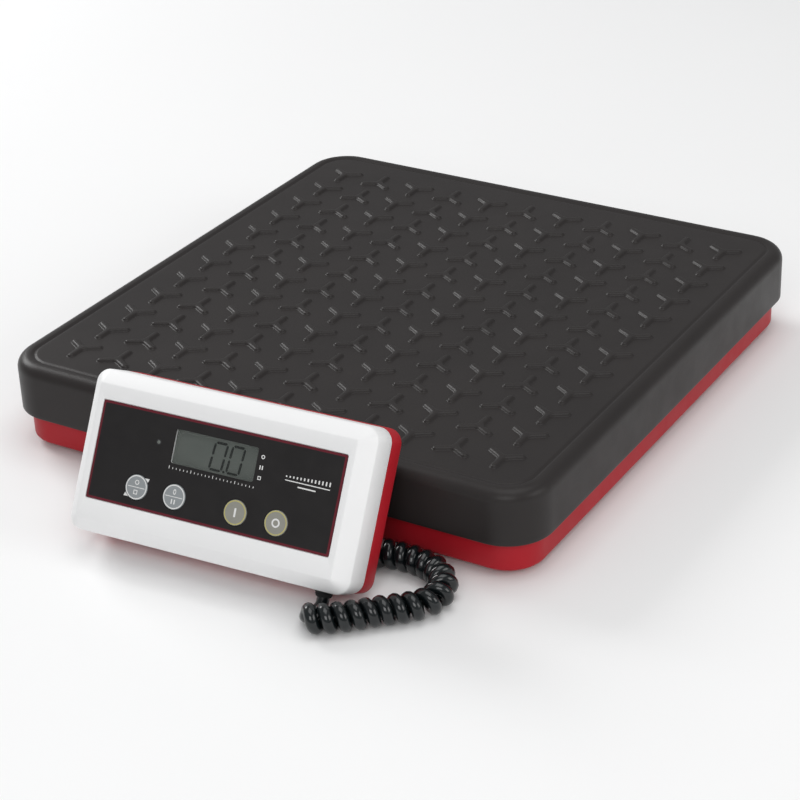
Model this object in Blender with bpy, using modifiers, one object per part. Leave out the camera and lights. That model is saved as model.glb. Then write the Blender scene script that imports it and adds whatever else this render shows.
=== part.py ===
"""Platform shipping scale: a low weighing platform with a separate display unit on a curly cord.

Metres, +Z up.  The origin is on the floor, in the middle of the object's box.  The display stands
in front of the platform, at -Y, leaning back on two fins.
"""
import bpy
import bmesh
from math import cos, radians, sin, sqrt
from mathutils import Euler, Matrix, Vector

mm = 0.001
gap = 0.3 * mm                      # between pieces that touch

# ---- platform: driving sizes -------------------------------------------------------------------
deck_width = 304.8 * mm             # along X, 12 in
deck_depth = 317.5 * mm             # along Y, 12.5 in
deck_front_y = -123.45 * mm         # front face of the deck's skirt
deck_corner = 23.5 * mm             # corner radius in plan
deck_fillet = 6.0 * mm              # top edge
deck_sheet = 1.6 * mm
skirt_height = 28.3 * mm
base_inset = 4.6 * mm               # red base stands in from the skirt
foot_height = 2.7 * mm
foot_radius = 11.0 * mm
foot_from_edge = 38.0 * mm
tray_wall = 2.5 * mm
tray_round = 2.0 * mm               # lower edge
tray_skin = 1.0 * mm                # left under a blind screw hole
screw_tip_gap = 0.5 * mm
tray_above_skirt = 9.0 * mm         # tray wall goes on up inside the skirt
plate_sheet = 2.0 * mm
plate_margin = 14.0 * mm            # steel plate to the tray's inner wall
plate_screw_from_edge = 12.0 * mm

# ---- load cell and weighing frame --------------------------------------------------------------
cell_length = 130.0 * mm            # along Y
cell_width = 30.0 * mm
cell_height = 22.0 * mm
cell_hole_radius = 7.0 * mm         # the two round ends of the flexing hole
cell_hole_spread = 22.0 * mm
cell_neck = 11.2 * mm               # height of the slot that joins the two round ends
cell_edge = 0.6 * mm
cell_bolt_pitch = 15.0 * mm
cell_bolt_from_end = 10.0 * mm
spacer_height = 3.0 * mm
weigh_travel = 0.4 * mm             # at full load
frame_sheet = 6.0 * mm
frame_rail_width = 24.0 * mm
frame_cross_width = 40.0 * mm
frame_from_edge = 34.0 * mm         # rail ends to the deck's edge
pad_radius = 9.0 * mm
pad_height = 2.6 * mm
stop_radius = 5.0 * mm
stop_edge = 1.0 * mm
stop_flange_radius = 8.5 * mm
stop_flange_height = 3.0 * mm
bolt_radius = 3.0 * mm
bolt_head_radius = 5.0 * mm
bolt_head_height = 2.3 * mm
bolt_tip_gap = 0.4 * mm             # above the plate's underside
screw_radius = 1.5 * mm
screw_head_radius = 2.9 * mm
screw_head_height = 1.6 * mm
screw_head_edge = 0.6 * mm          # case screws only
hole_clearance = 0.3 * mm

# ---- display unit, in its own axes: x right, y into the unit, z up its face ---------------------
display_width = 150.0 * mm
display_height = 77.0 * mm
display_corner = 7.0 * mm
display_chamfer = 6.5 * mm          # sloping border round the flat front
front_depth = 21.0 * mm             # white shell, flat front to parting line
back_depth = 11.2 * mm              # red shell
shell_wall = 2.2 * mm
back_round = 2.0 * mm
display_tilt = radians(29.6)        # leans back from upright
display_yaw = radians(3.3)
display_x = 16.1 * mm               # middle of the unit's lower rear edge
display_y = -165.2 * mm
fin_length = 9.5 * mm               # along the floor
fin_width = 6.0 * mm
fin_above_edge = 1.2 * mm           # fin meets the shell over its rounded lower edge
fin_from_middle = 56.0 * mm
fin_pad_height = 1.4 * mm
fin_pad_start = 1.0 * mm            # from the unit's lower rear edge
fin_pad_end = 0.5 * mm
overlay_width = 129.4 * mm
overlay_height = 46.4 * mm
overlay_above_middle = 1.1 * mm     # its centre above the middle of the display's height
overlay_sheet = 0.6 * mm
overlay_recess = 0.1 * mm           # its face below the flat front
lcd_width = 44.0 * mm
lcd_height = 16.0 * mm
lcd_from_overlay = (-1.8 * mm, 9.4 * mm)        # centres, from the overlay's centre
lcd_panel_margin = 3.2 * mm
lcd_panel_depth = 2.5 * mm
button_radius = 5.9 * mm
buttons_from_overlay = ((-38.7 * mm, -13.3 * mm), (-18.2 * mm, -13.5 * mm), (14.5 * mm, -13.8 * mm),
                        (35.9 * mm, -14.0 * mm))
button_names = ("units", "zero_hold", "on", "off")
button_travel = 0.6 * mm
button_proud = 0.3 * mm             # face in front of the overlay
button_stem_radius = 2.0 * mm
button_face = 2.1 * mm              # thickness of the round face
button_edge = 0.3 * mm
switch_clearance = 0.2 * mm         # left when the key is fully down
board_width = 118.0 * mm
board_height = 52.0 * mm
board_sheet = 1.6 * mm
switch_size = 6.0 * mm
switch_depth = 2.3 * mm
battery_size = (48.5 * mm, 17.5 * mm, 26.5 * mm)
battery_x = -40.0 * mm              # its left end
battery_edge = 1.5 * mm
battery_z = 25.0 * mm
battery_to_board = 1.0 * mm
battery_to_door = 1.2 * mm
snap_length = 6.0 * mm
snap_inset = 1.0 * mm
door_margin = 3.5 * mm              # door beyond the battery
door_grip_radius = 5.0 * mm         # round thumb hollow
door_grip_depth = 0.8 * mm
door_grip_from_end = 8.0 * mm
case_screw_inset = 9.5 * mm
case_screw_length = 20.0 * mm
boss_radius = 3.6 * mm
boss_short = 1.0 * mm               # stops short of the parting line

# ---- cord ----------------------------------------------------------------------------------------
wire_radius = 3.0 * mm
coil_radius = 7.2 * mm              # outside of the turns
gland_x = 58.0 * mm
gland_above_floor = 0.82 * mm       # its inner flange over the tray's floor
neck_to_wire = 1.5                  # neck radius over wire radius, gland and relief
flange_to_neck = 1.4
tip_to_wire = 1.2
flange_thickness = 2.0 * mm
gland_out = 5.0 * mm                # stands out of the base wall
relief_x = 60.0 * mm                # in the unit's own axes
relief_clearance = 0.4 * mm         # its flange behind the sloping border
relief_out = 3.0 * mm
relief_shoulder = 0.5 * mm
cell_wire_radius = 1.6 * mm
cell_wire_back = 20.0 * mm          # leaves the cell's side, behind its middle
cell_wire_z = 16.0 * mm
coil_step = 6.0 * mm                # spacing of the points along each tube
wire_step = 4.0 * mm
cell_wire_step = 8.0 * mm

# axis of the coil, lying on the floor, from the base's side to the display's side
coil_over_floor = 0.2 * mm
coil_route = ((40.0, -134.7), (33.0, -133.2), (22.0, -131.2), (6.0, -130.2), (-16.0, -130.2),
              (-34.0, -130.2), (-44.0, -130.3), (-51.2, -133.2), (-54.2, -140.2), (-51.2, -147.2),
              (-44.0, -150.1), (-32.0, -150.3), (-8.0, -150.3), (18.0, -150.3), (38.0, -150.1),
              (52.0, -148.3), (63.0, -143.9), (72.0, -138.3), (81.0, -134.3), (90.0, -133.1),
              (100.0, -133.2), (110.0, -136.1), (117.6, -142.5), (121.2, -150.9), (120.2, -159.9),
              (114.8, -167.5), (105.6, -175.5), (95.6, -185.1), (87.0, -192.1), (78.2, -196.8))
lead_route = ((57.2, -130.5, 11.7), (54.6, -133.7, 10.5), (50.6, -135.5, 9.0),
              (46.0, -135.9, 7.9), (43.0, -135.5, 7.5))
tail_route = ((75.6, -198.2, 7.3), (72.9, -198.7, 6.7), (70.7, -196.7, 5.4), (70.6, -192.7, 4.3),
              (72.6, -188.2, 3.7), (75.6, -184.0, 3.6))
cell_wire_route = ((21.0, 14.7, 15.6), (28.0, 6.1, 12.6), (37.0, -27.9, 10.4), (48.0, -63.9, 10.4),
                   (56.0, -89.9, 10.8), (58.0, -105.9, 12.0))

# ---- what follows from them ----------------------------------------------------------------------
neck_radius = wire_radius * neck_to_wire
flange_radius = neck_radius * flange_to_neck
tip_radius = wire_radius * tip_to_wire
coil_z = coil_radius + coil_over_floor
tray_bottom = foot_height + gap
tray_floor = tray_bottom + tray_wall
gland_z = tray_floor + flange_radius + gland_above_floor
plate_bottom = tray_floor + gap
plate_top = plate_bottom + plate_sheet
cell_bottom = plate_top + gap + spacer_height + gap
cell_top = cell_bottom + cell_height
top_spacer_bottom = cell_top + gap + weigh_travel
frame_bottom = top_spacer_bottom + spacer_height + gap
frame_top = frame_bottom + frame_sheet
pad_bottom = frame_top + gap
deck_underside = pad_bottom + pad_height + gap
deck_top = deck_underside + deck_sheet
skirt_bottom = deck_top - skirt_height
deck_y = deck_front_y + deck_depth / 2
base_width = deck_width - 2 * base_inset
base_depth = deck_depth - 2 * base_inset
base_front_y = deck_front_y + base_inset
tray_top = skirt_bottom + tray_above_skirt
plate_width = base_width - 2 * (tray_wall + plate_margin)
plate_depth = base_depth - 2 * (tray_wall + plate_margin)
display_z = fin_pad_height + gap
back_face = front_depth + gap + back_depth
relief_y = display_chamfer + flange_radius + relief_clearance
board_y = back_face - shell_wall - battery_to_door - battery_size[1] - battery_to_board - board_sheet
overlay_centre_z = display_height / 2 + overlay_above_middle
lcd_centre = (lcd_from_overlay[0], overlay_centre_z + lcd_from_overlay[1])
button_places = [(x, overlay_centre_z + z) for x, z in buttons_from_overlay]
button_front = overlay_recess - button_proud
stem_end = board_y - gap - switch_depth - button_travel - switch_clearance


# ---- helpers -------------------------------------------------------------------------------------
def clear_scene():
    for item in list(bpy.data.objects):
        bpy.data.objects.remove(item, do_unlink=True)


def make_material(name, colour, roughness, metallic=0.0):
    material = bpy.data.materials.new(name)
    material.use_nodes = True
    shader = material.node_tree.nodes["Principled BSDF"]
    shader.inputs["Base Color"].default_value = (*colour, 1.0)
    shader.inputs["Roughness"].default_value = roughness
    shader.inputs["Metallic"].default_value = metallic
    return material


def make_object(name, mesh_data, material, parent=None):
    item = bpy.data.objects.new(name, mesh_data)
    collections["parts"].objects.link(item)
    item.data.materials.append(material)
    item.parent = parent
    return item


def mesh_from(name, bm):
    bmesh.ops.recalc_face_normals(bm, faces=bm.faces)
    data = bpy.data.meshes.new(name)
    bm.to_mesh(data)
    bm.free()
    return data


def smooth(item, angle=35):
    item.data.shade_smooth()
    item.data.set_sharp_from_angle(angle=radians(angle))
    return item


def cube_bmesh(size, centre):
    bm = bmesh.new()
    place = Matrix.Translation(centre) @ Matrix.Diagonal((*size, 1))
    bmesh.ops.create_cube(bm, size=1.0, matrix=place)
    return bm


def box(name, low, high, material, parent=None, round_edge=0.0):
    size = [b - a for a, b in zip(low, high)]
    centre = [(a + b) / 2 for a, b in zip(low, high)]
    bm = cube_bmesh(size, centre)
    if round_edge:
        bmesh.ops.bevel(bm, geom=bm.edges[:], offset=round_edge, segments=1, affect="EDGES")
    return make_object(name, mesh_from(name, bm), material, parent)


def cylinder_bmesh(radius, start, end, sides=24):
    axis = Vector(end) - Vector(start)
    turn = Vector((0, 0, 1)).rotation_difference(axis).to_matrix().to_4x4()
    middle = Matrix.Translation((Vector(start) + Vector(end)) / 2)
    bm = bmesh.new()
    bmesh.ops.create_cone(bm, cap_ends=True, segments=sides, radius1=radius, radius2=radius,
                          depth=axis.length, matrix=middle @ turn)
    return bm


def cylinder(name, radius, start, end, material, parent=None, sides=24):
    bm = cylinder_bmesh(radius, start, end, sides)
    return smooth(make_object(name, mesh_from(name, bm), material, parent))


def turned(name, profile, place, direction, material, parent=None, sides=24):
    """A profile of (radius, height) points, outer side running down, turned about its own axis."""
    bm = bmesh.new()
    corners = [bm.verts.new((radius, 0.0, height)) for radius, height in profile]
    for first, second in zip(corners, corners[1:]):
        bm.edges.new((first, second))
    data = bpy.data.meshes.new(name)
    bm.to_mesh(data)
    bm.free()
    item = make_object(name, data, material, parent)
    item.location = place
    item.rotation_euler = Vector((0, 0, 1)).rotation_difference(Vector(direction)).to_euler()
    screw = item.modifiers.new("turn", "SCREW")
    screw.steps = screw.render_steps = sides
    screw.use_merge_vertices = True
    screw.merge_threshold = 0.00001
    return item


def cutter(name, bm, parent=None):
    item = bpy.data.objects.new(name, mesh_from(name, bm))
    collections["cutters"].objects.link(item)
    item.parent = parent
    item.hide_render = True
    item.display_type = "WIRE"
    return item


def combine(item, other, operation):
    step = item.modifiers.new(operation.lower(), "BOOLEAN")
    step.operation = operation
    step.object = other
    step.solver = "EXACT"


def cut_hole(item, radius, start, end, parent=None, sides=24):
    combine(item, cutter(item.name + "_cut", cylinder_bmesh(radius, start, end, sides), parent),
            "DIFFERENCE")


def cut_box(item, low, high, parent=None):
    size = [b - a for a, b in zip(low, high)]
    centre = [(a + b) / 2 for a, b in zip(low, high)]
    combine(item, cutter(item.name + "_cut", cube_bmesh(size, centre), parent), "DIFFERENCE")


def add_solid(item, bm, parent=None):
    combine(item, cutter(item.name + "_add", bm, parent), "UNION")


def rounded_block(size, centre, corner, mouth, edge, corner_steps, edge_steps):
    """A box with rounded corners about the mouth's axis, and the edge opposite the mouth worked."""
    axis = [abs(value) for value in mouth].index(1)
    bm = cube_bmesh(size, centre)
    along = [e for e in bm.edges if abs((e.verts[0].co - e.verts[1].co)[axis]) > 0.9 * size[axis]]
    bmesh.ops.bevel(bm, geom=along, offset=corner, segments=corner_steps, affect="EDGES", profile=0.5)
    level = centre[axis] - mouth[axis] * size[axis] / 2
    rim = [e for e in bm.edges if all(abs(v.co[axis] - level) < 1e-6 for v in e.verts)]
    bmesh.ops.bevel(bm, geom=rim, offset=edge, segments=edge_steps, affect="EDGES", profile=0.5)
    return bm


def open_shell(name, size, centre, corner, mouth, edge, wall, material, parent=None,
               corner_steps=6, edge_steps=3):
    """A rounded block hollowed from one side, leaving an even wall."""
    outer = rounded_block(size, centre, corner, mouth, edge, corner_steps, edge_steps)
    item = smooth(make_object(name, mesh_from(name, outer), material, parent))
    past_mouth = 2 * mm
    inner_size = []
    inner_centre = []
    for length, middle, sign in zip(size, centre, mouth):
        inner_size.append(length - 2 * wall if sign == 0 else length - wall + past_mouth)
        inner_centre.append(middle + sign * (wall + past_mouth) / 2)
    inner_corner = corner - wall
    least = 0.2 * mm
    if edge_steps == 1:             # a 45 degree slope keeps its wall if it moves in by 2 - sqrt(2)
        inner_edge = min(edge - wall * (2 - sqrt(2)), inner_corner - least)
    else:
        inner_edge = edge - wall
    inner = rounded_block(inner_size, inner_centre, inner_corner, mouth, max(inner_edge, least),
                          corner_steps, edge_steps)
    combine(item, cutter(name + "_hollow", inner, parent), "DIFFERENCE")
    return item


def smooth_route(points, step):
    """Evenly spaced points on one smooth curve through the given ones."""
    knots = [Vector(p) for p in points]
    knots = [knots[0] * 2 - knots[1]] + knots + [knots[-1] * 2 - knots[-2]]
    fine = []
    for before, first, second, after in zip(knots, knots[1:], knots[2:], knots[3:]):
        count = 12
        for index in range(count):
            t = index / count
            fine.append(0.5 * ((2 * first) + (second - before) * t
                               + (2 * before - 5 * first + 4 * second - after) * t ** 2
                               + (3 * first - before - 3 * second + after) * t ** 3))
    fine.append(knots[-2])
    total = sum((b - a).length for a, b in zip(fine, fine[1:]))
    count = max(2, round(total / step))
    spacing = total / count
    even, travelled = [fine[0]], 0.0
    for a, b in zip(fine, fine[1:]):
        piece = (b - a).length
        while len(even) < count and travelled + piece >= spacing * len(even):
            even.append(a.lerp(b, (spacing * len(even) - travelled) / piece))
        travelled += piece
    even.append(fine[-1])
    return even


def tube(name, points, radius, material, parent=None, resolution=2):
    curve = bpy.data.curves.new(name, "CURVE")
    curve.dimensions = "3D"
    curve.bevel_depth = radius
    curve.bevel_resolution = resolution
    curve.use_fill_caps = True
    line = curve.splines.new("POLY")
    line.points.add(len(points) - 1)
    for point, place in zip(line.points, points):
        point.co = (*place, 1.0)
    return make_object(name, curve, material, parent)


# ---- platform ------------------------------------------------------------------------------------
def make_deck():
    """Pressed steel cover: flat top, rounded edge, skirt all round."""
    size = (deck_width, deck_depth, skirt_height)
    centre = (0.0, deck_y, skirt_bottom + skirt_height / 2)
    open_shell("deck", size, centre, deck_corner, (0, 0, -1), deck_fillet, deck_sheet,
               materials["deck"], corner_steps=8, edge_steps=4)


def make_base_tray():
    """Moulded red tray that the works sit in."""
    height = tray_top - tray_bottom
    centre = (0.0, deck_y, tray_bottom + height / 2)
    tray = open_shell("base_tray", (base_width, base_depth, height), centre, deck_corner - base_inset,
                      (0, 0, 1), tray_round, tray_wall, materials["red"], corner_steps=6, edge_steps=2)
    wall = Vector((gland_x, base_front_y, gland_z))
    reach = Vector((0, 3 * tray_wall, 0))
    cut_hole(tray, neck_radius + hole_clearance, wall - reach, wall + reach)
    for x, y in plate_screw_places():
        cut_hole(tray, screw_radius + hole_clearance, (x, y, tray_bottom + tray_skin),
                 (x, y, plate_top), sides=12)


def plate_screw_places():
    x = plate_width / 2 - plate_screw_from_edge
    y = plate_depth / 2 - plate_screw_from_edge
    return [(sx * x, deck_y + sy * y) for sx in (-1, 1) for sy in (-1, 1)]


def cell_bolt_places(end):
    """Two bolts in line at the cell's fixed end (-1) or free end (+1)."""
    outer = cell_length / 2 - cell_bolt_from_end
    return [(0.0, deck_y + end * (outer - n * cell_bolt_pitch)) for n in (0, 1)]


def frame_ends():
    x = deck_width / 2 - frame_from_edge - frame_rail_width / 2
    y = deck_depth / 2 - frame_from_edge - frame_rail_width / 2
    return [(sx * x, deck_y + sy * y) for sx in (-1, 1) for sy in (-1, 1)]


def foot_places():
    x = deck_width / 2 - foot_from_edge
    y = deck_depth / 2 - foot_from_edge
    return [(sx * x, deck_y + sy * y) for sx in (-1, 1) for sy in (-1, 1)]


def make_base_plate():
    """Steel plate that stiffens the tray and carries the load cell."""
    low = (-plate_width / 2, deck_y - plate_depth / 2, plate_bottom)
    high = (plate_width / 2, deck_y + plate_depth / 2, plate_top)
    plate = box("base_plate", low, high, materials["steel"])
    for x, y in cell_bolt_places(-1):
        cut_hole(plate, bolt_radius + hole_clearance, (x, y, tray_bottom), (x, y, cell_bottom))
    for index, (x, y) in enumerate(plate_screw_places(), 1):
        cut_hole(plate, screw_radius + hole_clearance, (x, y, tray_bottom), (x, y, cell_bottom),
                 sides=12)
        tip = tray_bottom + tray_skin + screw_tip_gap - plate_top
        profile = ((0, screw_head_height), (screw_head_radius, screw_head_height),
                   (screw_head_radius, 0), (screw_radius, 0), (screw_radius, tip), (0, tip))
        turned(f"plate_screw_{index}", profile, (x, y, plate_top + gap), (0, 0, 1), materials["steel"],
               sides=12)


def make_feet():
    for index, (x, y) in enumerate(foot_places(), 1):
        cylinder(f"foot_{index}", foot_radius, (x, y, 0), (x, y, foot_height), materials["rubber"])


def make_spacer(name, end, bottom):
    middle = sum(y for x, y in cell_bolt_places(end)) / 2
    half = cell_bolt_pitch / 2 + bolt_head_radius
    low = (-cell_width / 2, middle - half, bottom)
    high = (cell_width / 2, middle + half, bottom + spacer_height)
    spacer = box(name, low, high, materials["steel"])
    for x, y in cell_bolt_places(end):
        cut_hole(spacer, bolt_radius + hole_clearance, (x, y, bottom - mm),
                 (x, y, bottom + 2 * spacer_height))


def make_load_cell():
    """Aluminium bending beam: the hole through it leaves two thin flexing walls."""
    low = (-cell_width / 2, deck_y - cell_length / 2, cell_bottom)
    high = (cell_width / 2, deck_y + cell_length / 2, cell_top)
    cell = box("load_cell", low, high, materials["aluminium"], round_edge=cell_edge)
    middle = (cell_bottom + cell_top) / 2
    side = cell_width
    for sign in (-1, 1):
        y = deck_y + sign * cell_hole_spread / 2
        cut_hole(cell, cell_hole_radius, (-side, y, middle), (side, y, middle))
    half = cell_neck / 2
    cut_box(cell, (-side, deck_y - cell_hole_spread / 2, middle - half),
            (side, deck_y + cell_hole_spread / 2, middle + half))
    for end in (-1, 1):
        for x, y in cell_bolt_places(end):
            cut_hole(cell, bolt_radius + hole_clearance, (x, y, cell_bottom - mm), (x, y, cell_top + mm))


def make_cell_bolts():
    """Fixed end: down through the cell into the plate.  Free end: down through the frame."""
    kinds = (("cell_bolt_fixed", -1, cell_top + gap, plate_bottom + bolt_tip_gap),
             ("cell_bolt_free", 1, frame_top + gap, cell_bottom + cell_height / 2))
    for name, end, seat, tip in kinds:
        for index, (x, y) in enumerate(cell_bolt_places(end), 1):
            profile = ((0, bolt_head_height), (bolt_head_radius, bolt_head_height),
                       (bolt_head_radius, 0), (bolt_radius, 0), (bolt_radius, tip - seat),
                       (0, tip - seat))
            turned(f"{name}_{index}", profile, (x, y, seat), (0, 0, 1), materials["steel"], sides=16)


def make_weighing_frame():
    """H-shaped frame on the cell's free end; the deck rests on its four corners."""
    ends = frame_ends()
    far_x = max(x for x, y in ends)
    low_y = min(y for x, y in ends) - frame_rail_width / 2
    high_y = max(y for x, y in ends) + frame_rail_width / 2
    cross_y = sum(y for x, y in cell_bolt_places(1)) / 2
    low = (-far_x, cross_y - frame_cross_width / 2, frame_bottom)
    high = (far_x, cross_y + frame_cross_width / 2, frame_top)
    frame = box("weighing_frame", low, high, materials["steel"])
    for sign in (-1, 1):
        size = (frame_rail_width, high_y - low_y, frame_sheet)
        centre = (sign * far_x, (low_y + high_y) / 2, (frame_bottom + frame_top) / 2)
        add_solid(frame, cube_bmesh(size, centre))
    for x, y in cell_bolt_places(1):
        cut_hole(frame, bolt_radius + hole_clearance, (x, y, frame_bottom - mm), (x, y, frame_top + mm))
    for index, (x, y) in enumerate(ends, 1):
        cylinder(f"deck_pad_{index}", pad_radius, (x, y, pad_bottom), (x, y, pad_bottom + pad_height),
                 materials["rubber"])


def make_overload_stops():
    """Posts on the steel plate, just under the frame's corners."""
    top = frame_bottom - weigh_travel - gap
    for index, (x, y) in enumerate(frame_ends(), 1):
        height = top - plate_top - gap
        profile = ((0, height), (stop_radius - stop_edge, height), (stop_radius, height - stop_edge),
                   (stop_radius, stop_flange_height), (stop_flange_radius, stop_flange_height),
                   (stop_flange_radius, 0), (0, 0))
        turned(f"overload_stop_{index}", profile, (x, y, plate_top + gap), (0, 0, 1), materials["steel"],
               sides=16)


def relief_profile(out, shoulder, inside):
    """Rubber bush: tapered nose outside the wall, flange behind it."""
    end = inside + flange_thickness
    return ((0, out), (tip_radius, out), (neck_radius, shoulder), (neck_radius, -inside),
            (flange_radius, -inside), (flange_radius, -end), (0, -end))


def make_gland():
    """Strain relief through the front wall of the tray; its head is inside."""
    turned("cord_gland", relief_profile(gland_out, 0, tray_wall + gap),
           (gland_x, base_front_y, gland_z), (0, -1, 0), materials["rubber"])


def make_cords():
    coil_points = smooth_route([(x * mm, y * mm, coil_z) for x, y in coil_route], coil_step)
    tube("cord_coil", coil_points, coil_radius, materials["cord"])
    start = coil_points[0]
    away = (coil_points[0] - coil_points[1]).normalized()
    gland_tip = Vector((gland_x, base_front_y - gland_out - gap, gland_z))
    straight = Vector((0, -wire_radius, 0))
    lead = [gland_tip, gland_tip + straight] + [Vector(p) * mm for p in lead_route]
    lead.append(start + away * gap)
    tube("cord_lead", smooth_route(lead, wire_step), wire_radius, materials["cord"])
    end = coil_points[-1]
    away = (coil_points[-1] - coil_points[-2]).normalized()
    tip_z = -relief_out - 2 * gap   # the tube's last stretch isn't quite in line with the relief
    relief_tip = display.matrix_basis @ Vector((relief_x, relief_y, tip_z))
    below_tip = display.matrix_basis @ Vector((relief_x, relief_y, tip_z - wire_radius))
    tail = [end + away * 2 * gap] + [Vector(p) * mm for p in tail_route] + [below_tip, relief_tip]
    tube("cord_tail", smooth_route(tail, wire_step), wire_radius, materials["cord"])
    gland_head = Vector((gland_x, base_front_y + tray_wall + gap + flange_thickness + gap, gland_z))
    cell_side = Vector((cell_width / 2 + 2 * gap, deck_y - cell_wire_back, cell_wire_z))
    inner = [cell_side] + [Vector(p) * mm for p in cell_wire_route] + [gland_head]
    tube("cell_wire", smooth_route(inner, cell_wire_step), cell_wire_radius, materials["cord"])


# ---- display unit --------------------------------------------------------------------------------
def make_display_axes():
    """The middle of the lower rear edge stands over the floor; the unit leans back about it."""
    axes = bpy.data.objects.new("display_axes", None)
    collections["parts"].objects.link(axes)
    turn = Euler((-display_tilt, 0, display_yaw), "XYZ").to_matrix().to_4x4()
    rear_edge = Matrix.Translation((0, -back_face, 0))
    axes.matrix_basis = Matrix.Translation((display_x, display_y, display_z)) @ turn @ rear_edge
    return axes


def case_screw_places():
    x = display_width / 2 - case_screw_inset
    low = case_screw_inset
    high = display_height - case_screw_inset
    return [(sx * x, z) for sx in (-1, 1) for z in (low, high)]


def make_front_shell():
    """White shell: flat front, sloping border, window recess, screw posts."""
    centre = (0.0, front_depth / 2, display_height / 2)
    shell = open_shell("display_front", (display_width, front_depth, display_height), centre,
                       display_corner, (0, 1, 0), display_chamfer, shell_wall, materials["white"],
                       display, corner_steps=5, edge_steps=1)
    for x, z in case_screw_places():
        boss = cylinder_bmesh(boss_radius, (x, shell_wall / 2, z), (x, front_depth - boss_short, z), 16)
        add_solid(shell, boss, display)
        bottom = back_face + gap - case_screw_length - screw_tip_gap
        cut_hole(shell, screw_radius + hole_clearance, (x, bottom, z), (x, front_depth + mm, z),
                 display, sides=12)
    pocket = overlay_recess + overlay_sheet + gap
    half_w = overlay_width / 2 + gap
    half_h = overlay_height / 2 + gap
    cut_box(shell, (-half_w, -mm, overlay_centre_z - half_h),
            (half_w, pocket, overlay_centre_z + half_h), display)
    x, z = lcd_centre
    half_w = lcd_width / 2 + gap
    half_h = lcd_height / 2 + gap
    cut_box(shell, (x - half_w, -mm, z - half_h), (x + half_w, 2 * shell_wall, z + half_h), display)
    for x, z in button_places:
        cut_hole(shell, button_radius + 2 * gap, (x, -mm, z), (x, 2 * shell_wall, z), display)
    cut_hole(shell, neck_radius + hole_clearance, (relief_x, relief_y, -mm),
             (relief_x, relief_y, 2 * shell_wall), display)


def door_edges():
    low_x = battery_x - door_margin
    high_x = battery_x + battery_size[0] + snap_length + gap + door_margin
    low_z = battery_z - door_margin
    high_z = battery_z + battery_size[2] + door_margin
    return low_x, high_x, low_z, high_z


def make_back_shell():
    """Red shell with the two fins it stands on and the battery opening."""
    start = front_depth + gap
    centre = (0.0, start + back_depth / 2, display_height / 2)
    shell = open_shell("display_back", (display_width, back_depth, display_height), centre,
                       display_corner, (0, -1, 0), back_round, shell_wall, materials["red"], display,
                       corner_steps=5, edge_steps=2)
    inside = back_face - shell_wall / 2
    top_z = fin_length / sin(display_tilt)
    outline = ((inside, back_round), (back_face, fin_above_edge),
               (back_face + fin_length * cos(display_tilt), fin_length * sin(display_tilt)),
               (back_face, top_z), (inside, top_z))
    for sign in (-1, 1):
        bm = bmesh.new()
        x = sign * fin_from_middle - fin_width / 2
        face = bm.faces.new([bm.verts.new((x, y, z)) for y, z in outline])
        grown = bmesh.ops.extrude_face_region(bm, geom=[face])
        new_verts = [v for v in grown["geom"] if isinstance(v, bmesh.types.BMVert)]
        bmesh.ops.translate(bm, vec=(fin_width, 0, 0), verts=new_verts)
        add_solid(shell, bm, display)
    low_x, high_x, low_z, high_z = door_edges()
    cut_box(shell, (low_x - gap, back_face - 2 * shell_wall, low_z - gap),
            (high_x + gap, back_face + mm, high_z + gap), display)
    for x, z in case_screw_places():
        cut_hole(shell, screw_radius + hole_clearance, (x, start, z), (x, back_face + mm, z), display,
                 sides=12)


def make_case_screws():
    for index, (x, z) in enumerate(case_screw_places(), 1):
        profile = ((0, screw_head_height), (screw_head_radius - screw_head_edge, screw_head_height),
                   (screw_head_radius, screw_head_height - screw_head_edge), (screw_head_radius, 0),
                   (screw_radius, 0), (screw_radius, -case_screw_length), (0, -case_screw_length))
        turned(f"case_screw_{index}", profile, (x, back_face + gap, z), (0, 1, 0), materials["steel"],
               display, sides=12)


def make_overlay():
    low = (-overlay_width / 2, overlay_recess, overlay_centre_z - overlay_height / 2)
    high = (overlay_width / 2, overlay_recess + overlay_sheet, overlay_centre_z + overlay_height / 2)
    sheet = box("overlay", low, high, materials["overlay"], display)
    x, z = lcd_centre
    cut_box(sheet, (x - lcd_width / 2, -mm, z - lcd_height / 2),
            (x + lcd_width / 2, 2 * mm, z + lcd_height / 2), display)
    for x, z in button_places:
        cut_hole(sheet, button_radius + gap, (x, -mm, z), (x, 2 * mm, z), display)


def make_lcd():
    x, z = lcd_centre
    half_w = lcd_width / 2 - gap
    half_h = lcd_height / 2 - gap
    box("lcd_window", (x - half_w, overlay_recess, z - half_h),
        (x + half_w, overlay_recess + overlay_sheet, z + half_h), materials["glass"], display)
    half_w = lcd_width / 2 + lcd_panel_margin
    half_h = lcd_height / 2 + lcd_panel_margin
    start = shell_wall + gap
    box("lcd_panel", (x - half_w, start, z - half_h), (x + half_w, start + lcd_panel_depth, z + half_h),
        materials["lcd"], display)


def make_board():
    middle = overlay_centre_z
    box("circuit_board", (-board_width / 2, board_y, middle - board_height / 2),
        (board_width / 2, board_y + board_sheet, middle + board_height / 2), materials["board"], display)


def make_buttons():
    """Each key: a round face in the overlay with a stem behind it, over its switch."""
    for name, (x, z) in zip(button_names, button_places):
        depth = stem_end - button_front
        back = depth - button_face
        profile = ((0, depth), (button_radius - button_edge, depth), (button_radius, depth - button_edge),
                   (button_radius, back), (button_stem_radius, back), (button_stem_radius, 0), (0, 0))
        turned(f"button_{name}", profile, (x, stem_end, z), (0, -1, 0), materials["key"], display)
        half = switch_size / 2
        box(f"switch_{name}", (x - half, board_y - gap - switch_depth, z - half),
            (x + half, board_y - gap, z + half), materials["black"], display)


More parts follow.
